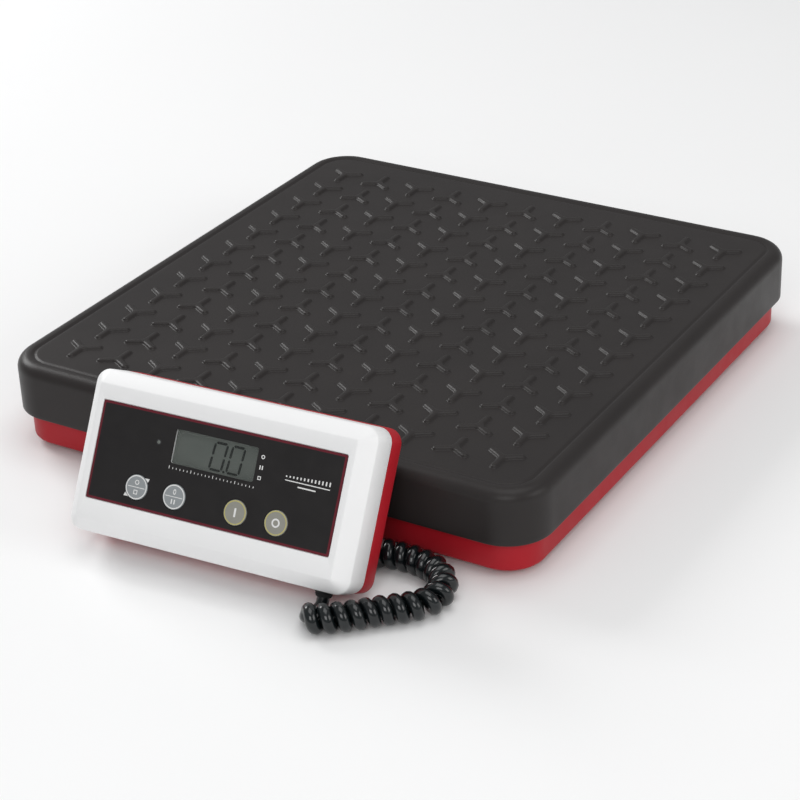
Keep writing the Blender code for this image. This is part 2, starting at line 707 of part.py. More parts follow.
def make_battery():
    start = board_y + board_sheet + battery_to_board
    width, depth, height = battery_size
    box("battery", (battery_x, start, battery_z), (battery_x + width, start + depth, battery_z + height),
        materials["battery"], display, round_edge=battery_edge)
    snap_x = battery_x + width + gap
    box("battery_snap", (snap_x, start + snap_inset, battery_z + snap_inset),
        (snap_x + snap_length, start + depth - snap_inset, battery_z + height - snap_inset),
        materials["black"], display)
    low_x, high_x, low_z, high_z = door_edges()
    door = box("battery_door", (low_x, back_face - shell_wall, low_z), (high_x, back_face, high_z),
               materials["red"], display)
    middle_z = (low_z + high_z) / 2
    grip_x = high_x - door_grip_from_end
    cut_hole(door, door_grip_radius, (grip_x, back_face - door_grip_depth, middle_z),
             (grip_x, back_face + mm, middle_z), display)


def make_fin_pads():
    """Rubber strips on the floor under the fins."""
    for name, sign in (("left", -1), ("right", 1)):
        pad = box(f"display_foot_{name}", (-fin_width / 2, fin_pad_start, 0),
                  (fin_width / 2, fin_length - fin_pad_end, fin_pad_height), materials["rubber"])
        corner = display.matrix_basis @ Vector((sign * fin_from_middle, back_face, 0))
        pad.location = (corner.x, corner.y, 0)
        pad.rotation_euler = (0, 0, display_yaw)


def make_display_relief():
    turned("display_cord_relief", relief_profile(relief_out, relief_shoulder, shell_wall + gap),
           (relief_x, relief_y, 0), (0, 0, -1), materials["rubber"], display)


# ---- build ---------------------------------------------------------------------------------------
clear_scene()
collections = {}
for title in ("parts", "cutters"):
    label = "platform_shipping_scale" if title == "parts" else "cutters"
    collections[title] = bpy.data.collections.new(label)
    bpy.context.scene.collection.children.link(collections[title])
materials = {
    "deck": make_material("deck_steel_paint", (0.045, 0.040, 0.039), 0.45),
    "red": make_material("red_plastic", (0.42, 0.012, 0.02), 0.4),
    "white": make_material("white_plastic", (0.85, 0.85, 0.86), 0.4),
    "rubber": make_material("black_rubber", (0.02, 0.02, 0.02), 0.8),
    "steel": make_material("zinc_steel", (0.55, 0.56, 0.58), 0.35, 1.0),
    "aluminium": make_material("aluminium", (0.75, 0.76, 0.78), 0.35, 1.0),
    "cord": make_material("cord_jacket", (0.006, 0.009, 0.010), 0.25),
    "overlay": make_material("overlay_film", (0.014, 0.013, 0.013), 0.35),
    "glass": make_material("clear_window", (0.55, 0.60, 0.57), 0.1),
    "lcd": make_material("lcd_grey", (0.13, 0.15, 0.13), 0.3),
    "key": make_material("key_grey", (0.33, 0.35, 0.36), 0.5),
    "board": make_material("board_green", (0.03, 0.16, 0.07), 0.5),
    "black": make_material("black_plastic", (0.02, 0.02, 0.02), 0.5),
    "battery": make_material("battery_case", (0.10, 0.11, 0.13), 0.35, 0.6),
}
display = make_display_axes()
make_deck()
make_base_tray()
make_base_plate()
make_feet()
make_spacer("cell_spacer_fixed", -1, plate_top + gap)
make_spacer("cell_spacer_free", 1, top_spacer_bottom)
make_load_cell()
make_cell_bolts()
make_weighing_frame()
make_overload_stops()
make_gland()
make_cords()
make_front_shell()
make_back_shell()
make_case_screws()
make_overlay()
make_lcd()
make_board()
make_buttons()
make_battery()
make_fin_pads()
make_display_relief()
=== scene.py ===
from math import cos, pi, radians, sin

import bmesh
import bpy
from mathutils import Euler, Matrix, Vector
from mathutils.geometry import delaunay_2d_cdt


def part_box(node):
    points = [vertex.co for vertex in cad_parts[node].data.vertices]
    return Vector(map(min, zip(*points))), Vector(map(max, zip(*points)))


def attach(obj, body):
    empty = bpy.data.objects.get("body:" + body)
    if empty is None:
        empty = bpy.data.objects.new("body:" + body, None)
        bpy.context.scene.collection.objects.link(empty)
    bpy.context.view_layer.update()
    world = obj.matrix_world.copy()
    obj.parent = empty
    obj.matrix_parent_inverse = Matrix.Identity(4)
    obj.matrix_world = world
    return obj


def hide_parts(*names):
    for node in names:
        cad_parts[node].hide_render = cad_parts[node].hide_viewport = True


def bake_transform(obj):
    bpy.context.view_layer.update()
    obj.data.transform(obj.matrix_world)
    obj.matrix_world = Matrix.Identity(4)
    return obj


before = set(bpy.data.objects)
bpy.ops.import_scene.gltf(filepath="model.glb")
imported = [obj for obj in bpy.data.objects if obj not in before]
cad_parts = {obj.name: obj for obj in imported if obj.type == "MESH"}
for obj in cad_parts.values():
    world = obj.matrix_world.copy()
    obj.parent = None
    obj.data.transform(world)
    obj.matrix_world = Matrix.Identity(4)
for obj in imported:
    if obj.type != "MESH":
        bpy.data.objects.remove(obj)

mm = 0.001
lyingDown = Matrix.Rotation(pi / 2, 4, "X")      # turns what points up to point to the front
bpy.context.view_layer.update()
scene = bpy.context.scene
print("frame loaded:", len(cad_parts), "nodes")


cameraView = {
    "place": (0.55385, -0.87371, 0.56419),
    "azimuth": 29.56,        # degrees round from the front
    "elevation": 28.55,
    "roll": -1.22,
    "lens": 100.0,
    "shiftX": -0.1,
}


def aimCamera(view):
    turn, rise, roll = (radians(view[k]) for k in ("azimuth", "elevation", "roll"))
    ahead = Vector((-sin(turn) * cos(rise), cos(turn) * cos(rise), -sin(rise)))
    right = Vector((cos(turn), sin(turn), 0))
    up = right.cross(ahead)
    right, up = right * cos(roll) + up * sin(roll), up * cos(roll) - right * sin(roll)
    data = bpy.data.cameras.new("shopCamera")
    data.lens, data.sensor_width = view["lens"], 36.0
    data.shift_x = view["shiftX"]
    data.clip_start, data.clip_end = 0.02, 30.0
    item = bpy.data.objects.new("shopCamera", data)
    scene.collection.objects.link(item)
    axes = Matrix((right, up, -ahead)).transposed().to_4x4()
    item.matrix_world = Matrix.Translation(view["place"]) @ axes
    scene.camera = item


aimCamera(cameraView)


def addNode(tree, kind, **values):
    node = tree.nodes.new(kind)
    for key, value in values.items():
        if key in node.inputs:
            node.inputs[key].default_value = value
        else:
            setattr(node, key, value)
    return node


# colour mottled with a second one, roughness that varies, and a fine surface grain
def makeFinish(name, colour, second=None, blotch=60.0, rough=(0.4, 0.5), roughScale=120.0,
               bump=0.05, bumpScale=900.0, stretch=(1, 1, 1), metallic=0.0, specular=0.5,
               coat=0.0, coatRough=0.1, alpha=1.0, sheen=0.0, detail=3.0):
    material = bpy.data.materials.new(name)
    material.use_nodes = True
    tree = material.node_tree
    shader = tree.nodes["Principled BSDF"]
    shader.inputs["Metallic"].default_value = metallic
    shader.inputs["Specular IOR Level"].default_value = specular
    shader.inputs["Coat Weight"].default_value = coat
    shader.inputs["Coat Roughness"].default_value = coatRough
    shader.inputs["Alpha"].default_value = alpha
    shader.inputs["Sheen Weight"].default_value = sheen
    place = addNode(tree, "ShaderNodeTexCoord")
    spread = addNode(tree, "ShaderNodeMapping", Scale=stretch)
    tree.links.new(place.outputs["Object"], spread.inputs["Vector"])
    second = second or tuple(c * 0.86 for c in colour)
    blot = addNode(tree, "ShaderNodeTexNoise", Scale=blotch, Detail=detail, Roughness=0.55)
    ramp = addNode(tree, "ShaderNodeValToRGB")
    ramp.color_ramp.elements[0].position, ramp.color_ramp.elements[1].position = 0.35, 0.68
    ramp.color_ramp.elements[0].color = (*second, 1)
    ramp.color_ramp.elements[1].color = (*colour, 1)
    tree.links.new(spread.outputs["Vector"], blot.inputs["Vector"])
    tree.links.new(blot.outputs["Fac"], ramp.inputs["Fac"])
    tree.links.new(ramp.outputs["Color"], shader.inputs["Base Color"])
    dull = addNode(tree, "ShaderNodeTexNoise", Scale=roughScale, Detail=4.0)
    level = addNode(tree, "ShaderNodeMapRange")
    for socket, value in zip(("From Min", "From Max", "To Min", "To Max"), (0.3, 0.7, *rough)):
        level.inputs[socket].default_value = value
    tree.links.new(spread.outputs["Vector"], dull.inputs["Vector"])
    tree.links.new(dull.outputs["Fac"], level.inputs["Value"])
    tree.links.new(level.outputs["Result"], shader.inputs["Roughness"])
    grain = addNode(tree, "ShaderNodeTexNoise", Scale=bumpScale, Detail=2.0)
    relief = addNode(tree, "ShaderNodeBump", Strength=bump, Distance=0.2 * mm)
    tree.links.new(spread.outputs["Vector"], grain.inputs["Vector"])
    tree.links.new(grain.outputs["Fac"], relief.inputs["Height"])
    tree.links.new(relief.outputs["Normal"], shader.inputs["Normal"])
    return material


finishes = {
    "deckPaint": makeFinish("deckPaint", (0.0270, 0.0235, 0.0228), (0.0240, 0.0210, 0.0205),
                            blotch=25.0, rough=(0.36, 0.44), roughScale=70.0, bump=0.16,
                            bumpScale=1400.0, specular=0.22),
    "redPlastic": makeFinish("redPlastic", (0.44, 0.012, 0.022), (0.40, 0.010, 0.018), blotch=30.0,
                             rough=(0.40, 0.48), bump=0.12, bumpScale=1800.0, specular=0.22),
    "whitePlastic": makeFinish("whitePlastic", (0.89, 0.89, 0.892), (0.87, 0.87, 0.872), blotch=25.0,
                               rough=(0.38, 0.46), bump=0.12, bumpScale=1800.0),
    "cordJacket": makeFinish("cordJacket", (0.006, 0.009, 0.010), (0.004, 0.006, 0.007), blotch=90.0,
                             rough=(0.15, 0.22), roughScale=260.0, bump=0.05, bumpScale=700.0,
                             specular=0.4, coat=0.3, coatRough=0.05),
    "blackRubber": makeFinish("blackRubber", (0.021, 0.021, 0.022), (0.014, 0.014, 0.015),
                              rough=(0.66, 0.82), bump=0.3, bumpScale=1500.0, specular=0.3),
    "overlayFilm": makeFinish("overlayFilm", (0.0145, 0.0128, 0.0130), (0.0122, 0.0108, 0.0110),
                              rough=(0.30, 0.38), bump=0.10, bumpScale=2600.0, specular=0.4),
    "borderInk": makeFinish("borderInk", (0.13, 0.006, 0.016), (0.11, 0.005, 0.013),
                            rough=(0.30, 0.38), bump=0.10, bumpScale=2600.0),
    "whiteInk": makeFinish("whiteInk", (0.80, 0.80, 0.79), (0.74, 0.74, 0.73), rough=(0.34, 0.42),
                           bump=0.08, bumpScale=2600.0),
    "keyGrey": makeFinish("keyGrey", (0.30, 0.32, 0.33), (0.27, 0.29, 0.30), rough=(0.36, 0.44),
                          bump=0.10, bumpScale=2600.0),
    "keyWarmGrey": makeFinish("keyWarmGrey", (0.30, 0.295, 0.26), (0.27, 0.265, 0.23),
                              rough=(0.36, 0.44), bump=0.10, bumpScale=2600.0),
    "oliveRing": makeFinish("oliveRing", (0.52, 0.47, 0.17), (0.47, 0.42, 0.14), rough=(0.34, 0.42),
                            bump=0.08, bumpScale=2600.0),
    "lcdGrey": makeFinish("lcdGrey", (0.150, 0.165, 0.150), (0.125, 0.140, 0.128), blotch=45.0,
                          rough=(0.30, 0.36), bump=0.03, bumpScale=2600.0, detail=1.0),
    "lcdInk": makeFinish("lcdInk", (0.009, 0.011, 0.010), (0.012, 0.014, 0.013), rough=(0.3, 0.36),
                         bump=0.02),
    "clearWindow": makeFinish("clearWindow", (0.07, 0.08, 0.075), (0.06, 0.07, 0.065),
                              rough=(0.07, 0.12), bump=0.02, alpha=0.09),
    "zincSteel": makeFinish("zincSteel", (0.56, 0.57, 0.60), (0.48, 0.49, 0.50), blotch=140.0,
                            rough=(0.28, 0.46), roughScale=300.0, bump=0.10, bumpScale=1200.0,
                            metallic=1.0),
    "rolledSteel": makeFinish("rolledSteel", (0.55, 0.56, 0.58), (0.46, 0.47, 0.49), blotch=30.0,
                              rough=(0.30, 0.48), roughScale=60.0, bump=0.12, bumpScale=220.0,
                              stretch=(14, 1, 14), metallic=1.0),
    "milledAluminium": makeFinish("milledAluminium", (0.74, 0.75, 0.77), (0.68, 0.69, 0.71),
                                  blotch=30.0, rough=(0.26, 0.40), roughScale=80.0, bump=0.14,
                                  bumpScale=260.0, stretch=(10, 1, 10), metallic=1.0),
    "solderMask": makeFinish("solderMask", (0.03, 0.17, 0.07), (0.016, 0.11, 0.045), blotch=260.0,
                             rough=(0.28, 0.42), bump=0.2, bumpScale=400.0, coat=0.3),
    "blackPlastic": makeFinish("blackPlastic", (0.022, 0.022, 0.023), (0.016, 0.016, 0.017),
                               rough=(0.42, 0.55), bump=0.15, bumpScale=1600.0),
    "batteryTin": makeFinish("batteryTin", (0.10, 0.11, 0.13), (0.085, 0.09, 0.11), rough=(0.26, 0.36),
                             bump=0.05, metallic=0.4),
    "batteryBand": makeFinish("batteryBand", (0.55, 0.38, 0.10), (0.50, 0.34, 0.09), rough=(0.26, 0.36),
                              bump=0.05, metallic=0.5),
    "brass": makeFinish("brass", (0.78, 0.58, 0.25), (0.68, 0.50, 0.20), rough=(0.22, 0.34), bump=0.05,
                        metallic=1.0),
}
print("finishes made:", len(finishes))


def newMesh():
    return {"points": [], "faces": [], "slots": []}


def addLoop(mesh, loop):
    first = len(mesh["points"])
    mesh["points"] += [Vector(p) for p in loop]
    return list(range(first, first + len(loop)))


def addFace(mesh, corners, slot=0):
    mesh["faces"].append(tuple(corners))
    mesh["slots"].append(slot)


def bridge(mesh, one, two, slot=0, closed=True):
    count = len(one) if closed else len(one) - 1
    for i in range(count):
        j = (i + 1) % len(one)
        addFace(mesh, (one[i], one[j], two[j], two[i]), slot)


def bridgeAll(mesh, loops, slot=0):
    for one, two in zip(loops, loops[1:]):
        bridge(mesh, one, two, slot)


# loops joined in turn, with the first and last filled
def addStack(mesh, loops, slot=0):
    bridgeAll(mesh, loops, slot)
    addFace(mesh, loops[0], slot)
    addFace(mesh, loops[-1], slot)


def joinMesh(mesh, other):
    first = len(mesh["points"])
    mesh["points"] += other["points"]
    mesh["faces"] += [tuple(first + i for i in face) for face in other["faces"]]
    mesh["slots"] += other["slots"]


# rows of numbers given in millimetres
def sized(rows):
    return [tuple(value * mm for value in row) for row in rows]


def insidePolygon(x, y, polygon):
    inside = False
    for (ax, ay), (bx, by) in zip(polygon, polygon[1:] + polygon[:1]):
        if (ay > y) != (by > y) and x < (bx - ax) * (y - ay) / (by - ay) + ax:
            inside = not inside
    return inside


# flat triangles inside the outer loop and outside the holes; drop is the axis they're flat in
def fillFlat(mesh, outer, holes=(), drop=2, slot=0):
    keep = [axis for axis in range(3) if axis != drop]
    loops = [outer, *holes]
    flat, owner, source, edges = [], [], [], []
    for number, loop in enumerate(loops):
        start = len(flat)
        for step, index in enumerate(loop):
            point = mesh["points"][index]
            flat.append(Vector((point[keep[0]], point[keep[1]])))
            owner.append(number)
            source.append(index)
            edges.append((start + step, start + (step + 1) % len(loop)))
    outlines = [[] for _ in loops]
    for point, number in zip(flat, owner):
        outlines[number].append(tuple(point))
    made = delaunay_2d_cdt(flat, edges, [], 0, 1e-9)
    origin = [ids[0] for ids in made[3]]
    for face in made[2]:
        ids = [origin[v] for v in face]
        owners = {owner[i] for i in ids}
        middle = sum((flat[i] for i in ids), Vector((0, 0))) / len(ids)
        if len(owners) == 1:
            inside = insidePolygon(middle.x, middle.y, outlines[owners.pop()])
            if inside != (owner[ids[0]] == 0):
                continue
        addFace(mesh, [source[i] for i in ids], slot)


# corner points of a rounded rectangle, turning left, as (x, y)
def roundedLoop(halfX, halfY, radius, steps):
    points = []
    for quarter, (sx, sy) in enumerate(((1, 1), (-1, 1), (-1, -1), (1, -1))):
        for step in range(steps + 1):
            angle = pi / 2 * (quarter + step / steps)
            points.append((sx * (halfX - radius) + radius * cos(angle),
                           sy * (halfY - radius) + radius * sin(angle)))
    return points


def circleLoop(x, y, radius, steps):
    return [(x + radius * cos(2 * pi * i / steps), y + radius * sin(2 * pi * i / steps))
            for i in range(steps)]


# a Blender object from collected points and faces, its normals facing out
def toObject(name, mesh, names, smoothAngle=32, matrix=None):
    data = bpy.data.meshes.new(name)
    data.from_pydata([tuple(p) for p in mesh["points"]], [], mesh["faces"])
    for face, slot in zip(data.polygons, mesh["slots"]):
        face.material_index = slot
    bm = bmesh.new()
    bm.from_mesh(data)
    bmesh.ops.remove_doubles(bm, verts=bm.verts, dist=1e-7)
    bmesh.ops.recalc_face_normals(bm, faces=bm.faces)
    bm.to_mesh(data)
    bm.free()
    for finish in names:
        data.materials.append(finishes[finish])
    data.shade_smooth()
    data.set_sharp_from_angle(angle=radians(smoothAngle))
    item = bpy.data.objects.new(name, data)
    scene.collection.objects.link(item)
    if matrix is not None:
        item.matrix_world = matrix
    return item


# rides on its body and stands for its CAD nodes
def settle(item, body, replaced=()):
    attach(item, body)
    if replaced:
        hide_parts(*replaced)
    return item


# (radius, height) points turned about Z; a radius of 0 closes the shape
def turnedMesh(profile, steps, slots=None):
    mesh = newMesh()
    loops = []
    for radius, height in profile:
        if radius < 1e-9:
            loops.append(addLoop(mesh, [(0, 0, height)]))
        else:
            loops.append(addLoop(mesh, [(x, y, height) for x, y in circleLoop(0, 0, radius, steps)]))
    for number, (one, two) in enumerate(zip(loops, loops[1:])):
        slot = slots[number] if slots else 0
        if len(one) == 1 or len(two) == 1:
            tip, ring = (one[0], two) if len(one) == 1 else (two[0], one)
            for i in range(steps):
                addFace(mesh, (tip, ring[i], ring[(i + 1) % steps]), slot)
        else:
            bridge(mesh, one, two, slot)
    return mesh


# a box with rounded plan corners and a softened top and bottom, along Z
def roundedBar(mesh, low, high, edge, slot=0, steps=3):
    middle = [(a + b) / 2 for a, b in zip(low, high)]
    halfX, halfY = (high[0] - low[0]) / 2, (high[1] - low[1]) / 2
    loops = []
    for inset, z in ((edge, low[2]), (edge * 0.3, low[2] + edge * 0.3), (0, low[2] + edge),
                     (0, high[2] - edge), (edge * 0.3, high[2] - edge * 0.3), (edge, high[2])):
        outline = roundedLoop(halfX - inset, halfY - inset, max(edge * 1.4 - inset, edge * 0.2), steps)
        loops.append(addLoop(mesh, [(middle[0] + x, middle[1] + y, z) for x, y in outline]))
    addStack(mesh, loops, slot)


# the object's evaluated mesh, with its modifiers taken in
def applied(item):
    graph = bpy.context.evaluated_depsgraph_get()
    data = bpy.data.meshes.new_from_object(item.evaluated_get(graph))
    item.modifiers.clear()
    item.data = data
    return item


# a round cutter from one height to another
def roundTool(radius, top, bottom, steps, place):
    mesh = turnedMesh(((0, top), (radius, top), (radius, bottom), (0, bottom)), steps)
    return toObject("holeTool", mesh, [], matrix=place)


def cutWith(item, cutters):
    for cutter in cutters:
        step = item.modifiers.new("cut", "BOOLEAN")
        step.operation, step.solver, step.object = "DIFFERENCE", "EXACT", cutter
    applied(item)
    for cutter in cutters:
        bpy.data.objects.remove(cutter)
    item.data.shade_smooth()
    item.data.set_sharp_from_angle(angle=radians(32))
    return item


# the CAD node's own shape with its hard edges softened
def roundedCopy(node, name, body, finish, width):
    bm = bmesh.new()
    bm.from_mesh(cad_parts[node].data)
    bmesh.ops.remove_doubles(bm, verts=bm.verts, dist=0.01 * mm)
    bmesh.ops.dissolve_limit(bm, angle_limit=radians(1), verts=bm.verts, edges=bm.edges)
    hard = [e for e in bm.edges if len(e.link_faces) == 2 and e.calc_face_angle(0) > radians(35)]
    bmesh.ops.bevel(bm, geom=hard, offset=width, segments=2, affect="EDGES", profile=0.6,
                    clamp_overlap=True)
    bmesh.ops.recalc_face_normals(bm, faces=bm.faces)
    data = bpy.data.meshes.new(name)
    bm.to_mesh(data)
    bm.free()
    data.materials.append(finishes[finish])
    data.shade_smooth()
    data.set_sharp_from_angle(angle=radians(40))
    item = bpy.data.objects.new(name, data)
    scene.collection.objects.link(item)
    return settle(item, body, [node])


# a Catmull-Rom curve through the points
def smoothRoute(points, perSpan=12):
    knots = [Vector(p) for p in points]
    knots = [knots[0] * 2 - knots[1], *knots, knots[-1] * 2 - knots[-2]]
    fine = []
    for before, first, second, after in zip(knots, knots[1:], knots[2:], knots[3:]):
        for index in range(perSpan):
            t = index / perSpan
            fine.append(0.5 * (2 * first + (second - before) * t
                               + (2 * before - 5 * first + 4 * second - after) * t ** 2
                               + (3 * first - before - 3 * second + after) * t ** 3))
    fine.append(knots[-2])
    return fine


# the same line with its points a step apart
def evenly(points, step):
    total = sum((b - a).length for a, b in zip(points, points[1:]))
    count = max(2, round(total / step))
    spacing, even, travelled = total / count, [points[0]], 0.0
    for a, b in zip(points, points[1:]):
        piece = (b - a).length
        while len(even) < count and travelled + piece >= spacing * len(even):
            even.append(a.lerp(b, (spacing * len(even) - travelled) / piece))
        travelled += piece
    return [*even, points[-1]]


# a round tube that follows the path without twisting
def tubeMesh(path, radius, sides):
    mesh = newMesh()
    tangents = []
    for index in range(len(path)):
        ahead = path[min(index + 1, len(path) - 1)] - path[max(index - 1, 0)]
        tangents.append(ahead.normalized())
    side = tangents[0].orthogonal().normalized()
    loops = []
    for number, (point, ahead) in enumerate(zip(path, tangents)):
        if number:
            side = tangents[number - 1].rotation_difference(ahead) @ side
        side = (side - ahead * side.dot(ahead)).normalized()
        other = ahead.cross(side)
        loops.append(addLoop(mesh, [point + (side * x + other * y) * radius
                                    for x, y in circleLoop(0, 0, 1, sides)]))
    addStack(mesh, loops)
    return mesh


cordSizes = {
    "wire": 6.0 * mm,
    "coil": 14.4 * mm,            # outside of the turns
    "height": 7.4 * mm,           # of the coil's axis
    "exit": (58.0 * mm, -123.85 * mm, 12.62 * mm),
    "openPitch": 6.55 * mm,       # where the turns show
    "closePitch": 6.15 * mm,      # in the two straight runs behind the display
    "lastTurn": 195.0,            # degrees round the coil where the wire leaves for the display
    "fineStep": 0.5 * mm,
    "bendReach": 6,               # fine steps either side over which a bend is measured
    "startTurns": 2.2,            # wire widths over which the coil opens from the lead
    "firstTurn": 0.9,             # how much longer the very first turn is
    "shown": (60.0 * mm, 30.0 * mm),        # the pitch changes from here, over this width
    "tightest": 0.98,             # of the wire, on the inside of a bend
    "pointsPerTurn": 20,
    "sides": 12,
    "length": 1.52,
    "liftFrom": -138.0 * mm,      # a place along the cord's run, in y
    "liftWhole": -182.0 * mm,
}
coilRoute = ((40.0, -134.7), (33.0, -133.2), (22.0, -131.2), (6.0, -130.2), (-16.0, -130.2),
             (-34.0, -130.2), (-44.0, -130.3), (-51.2, -133.2), (-54.2, -140.2), (-51.2, -147.2),
             (-44.0, -150.1), (-32.0, -150.3), (-8.0, -150.3), (18.0, -150.3), (38.0, -150.1),
             (52.0, -148.3), (63.0, -143.9), (72.0, -138.3), (81.0, -134.3), (90.0, -133.1),
             (100.0, -133.2), (110.0, -136.1), (117.6, -142.5), (121.2, -150.9), (120.2, -159.9),
             (114.8, -167.5), (105.6, -175.5), (95.6, -185.1), (87.0, -192.1), (78.2, -196.8))
leadRoute = ((57.2, -130.5, 11.7), (54.6, -133.7, 10.5), (50.6, -135.5, 9.0), (46.0, -135.9, 7.9),
             (43.0, -135.5, 7.5))
tailRoute = ((74.2, -190.6, 3.6), (74.9, -187.0, 3.3), (76.2, -184.0, 3.7))

displayPlace = {
    "place": (16.1 * mm, -165.2 * mm, 1.7 * mm),    # middle of its lower rear edge
    "tilt": 29.6,
    "yaw": 3.3,
    "backFace": 32.5 * mm,
}


def displayAxes(spec):
    turn = Euler((-radians(spec["tilt"]), 0, radians(spec["yaw"])), "XYZ").to_matrix().to_4x4()
    return Matrix.Translation(spec["place"]) @ turn @ Matrix.Translation((0, -spec["backFace"], 0))


toWorld = displayAxes(displayPlace)
reliefSpot = {"x": 60.0 * mm, "y": 13.2 * mm, "out": 3.0 * mm}


# the wire's own line round the coil's axis
def coilTurns(axis, sizes):
    wire, radius = sizes["wire"], (sizes["coil"] - sizes["wire"]) / 2
    step, near = sizes["fineStep"], sizes["bendReach"]
    fine = evenly(axis, step)
    up = Vector((0, 0, 1))
    total = len(fine) - 1
    phase, points = 0.0, []
    for index, point in enumerate(fine):
        ahead = (fine[min(index + 1, total)] - fine[max(index - 1, 0)]).normalized()
        before = (fine[index] - fine[max(index - near, 0)]).normalized()
        after = (fine[min(index + near, total)] - fine[index]).normalized()
        bend = before.angle(after, 0.0) / (near * step) if near < index < total - near else 0.0
        start = min(1, index * step / (sizes["startTurns"] * wire))
        reach = radius * start * start * (3 - 2 * start)
        shown = min(1.0, max(0.0, (point.x - sizes["shown"][0]) / sizes["shown"][1]))
        pitch = sizes["closePitch"] + (sizes["openPitch"] - sizes["closePitch"]) * shown
        pitch *= 1 + sizes["firstTurn"] * (1 - reach / radius)
        pitch = max(pitch, sizes["tightest"] * wire / max(0.3, 1 - radius * bend))
        side = up.cross(ahead).normalized()
        points.append((point, side, reach, phase))
        phase += 2 * pi * step / pitch
    shift = radians(sizes["lastTurn"]) - points[-1][3]
    return [(point, side, reach, phase + shift) for point, side, reach, phase in points]


def helixLine(axis, sizes):
    rows = coilTurns(axis, sizes)
    line = []
    step = 2 * pi / sizes["pointsPerTurn"]
    following, up = rows[0][3], Vector((0, 0, 1))
    for (pointA, sideA, reachA, phaseA), (pointB, sideB, reachB, phaseB) in zip(rows, rows[1:]):
        while following < phaseB:
            t = (following - phaseA) / (phaseB - phaseA)
            point, side = pointA.lerp(pointB, t), sideA.lerp(sideB, t).normalized()
            reach = reachA + (reachB - reachA) * t
            line.append(point + (side * cos(following) + up * sin(following)) * reach)
            following += step
    return line


def makeCord(sizes):
    axis = smoothRoute([(x * mm, y * mm, sizes["height"]) for x, y in coilRoute])
    turns = helixLine(axis, sizes)
    exitPoint = Vector(sizes["exit"])
    lead = [exitPoint, exitPoint + Vector((0, -3.1 * mm, 0)), *[Vector(p) * mm for p in leadRoute]]
    tip = toWorld @ Vector((reliefSpot["x"], reliefSpot["y"], -reliefSpot["out"]))
    below = toWorld @ Vector((reliefSpot["x"], reliefSpot["y"], -reliefSpot["out"] - 3.4 * mm))
    tail = [*[Vector(p) * mm for p in tailRoute], below, tip]
    leadLine = evenly(smoothRoute([*lead, turns[0]]), 2.0 * mm)[:-1]
    joined = smoothRoute([*turns[-3:], *tail], 12)[2 * 12:]        # without the turns it starts from
    tailLine = evenly(joined, 1.5 * mm)[1:]
    path = [*leadLine, *turns, *tailLine]
    length = sum((b - a).length for a, b in zip(path, path[1:]))
    print("cord: wire", round(length, 3), "m in", len(path), "points")
    item = toObject("curlyCord", tubeMesh(path, sizes["wire"] / 2, sizes["sides"]), ["cordJacket"], 60)
    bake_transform(item)
    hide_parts("cord_lead", "cord_coil", "cord_tail")


makeCord(cordSizes)
print("cord laid")


deckLook = {
    "sheet": 1.6 * mm,
    "corner": 23.5 * mm,
    "cornerSteps": 14,
    "edge": 6.0 * mm,           # round between top and skirt
    "edgeSteps": 9,
    "groove": 8.9 * mm,         # inside the skirt's face
    "grooveHalf": 1.5 * mm,
    "grooveDepth": 0.75 * mm,
    "fieldDrop": 0.25 * mm,     # the field lies a little under the rim
    "lip": 0.45 * mm,
}
treadLook = {
    "columns": 11,
    "rows": 12,
    "columnPitch": 24.5 * mm,
    "rowPitch": 23.1 * mm,
    "firstRow": -128.0 * mm,    # from the middle of the deck
    "turnedShift": -2.0 * mm,   # every other column is turned round, and stands nearer
    "arm": 10.9 * mm,           # middle of the mark to the end of an arm
    "halfWidth": 2.1 * mm,
    "bladeRound": 4.9 * mm,     # the curve between two arms, to the arms' middle lines
    "capSteps": 6,
    "armSteps": 4,
}
topRise = ((2.75 * mm, 0.0), (2.35 * mm, 0.0), (2.12 * mm, 0.09 * mm), (1.85 * mm, 0.36 * mm),
           (1.55 * mm, 0.74 * mm), (1.20 * mm, 1.01 * mm), (0.80 * mm, 1.15 * mm),
           (0.45 * mm, 1.20 * mm))
underRise = ((1.75 * mm, 0.0), (1.45 * mm, 0.0), (1.10 * mm, 0.35 * mm), (0.60 * mm, 0.80 * mm))


# a three-armed mark, drawn at a distance from its middle lines
def treadOutline(centre, facing, half, look):
    points = []
    curve = look["bladeRound"] / sin(radians(60))
    for arm in range(3):
        along = radians(90 * facing + 120 * arm)
        end = look["arm"] - look["halfWidth"]
        for step in range(look["capSteps"] + 1):
            angle = along - pi / 2 + pi * step / look["capSteps"]
            points.append((centre[0] + end * cos(along) + half * cos(angle),
                           centre[1] + end * sin(along) + half * sin(angle)))
        between = along + radians(60)
        middle = (centre[0] + curve * cos(between), centre[1] + curve * sin(between))
        reach = look["bladeRound"] - half
        for step in range(look["armSteps"] + 1):
            angle = between + pi + radians(30) - radians(60) * step / look["armSteps"]
            points.append((middle[0] + reach * cos(angle), middle[1] + reach * sin(angle)))
    return points


def treadPlaces(middle, look):
    places = []
    for column in range(look["columns"]):
        turned = column % 2 == 1
        x = middle[0] + (column - (look["columns"] - 1) / 2) * look["columnPitch"]
        for row in range(look["rows"]):
            y = middle[1] + look["firstRow"] + row * look["rowPitch"]
            places.append((x, y + (look["turnedShift"] if turned else 0), 1 if turned else -1))
    return places


# raised marks; returns the outer loop of each, for the sheet round it
def addTreads(mesh, middle, level, rises, look):
    outers = []
    for x, y, facing in treadPlaces(middle, look):
        loops = []
        for half, rise in rises:
            outline = treadOutline((x, y), facing, half, look)
            loops.append(addLoop(mesh, [(a, b, level + rise) for a, b in outline]))
        bridgeAll(mesh, loops)
        addFace(mesh, loops[-1])
        outers.append(loops[0])
    return outers


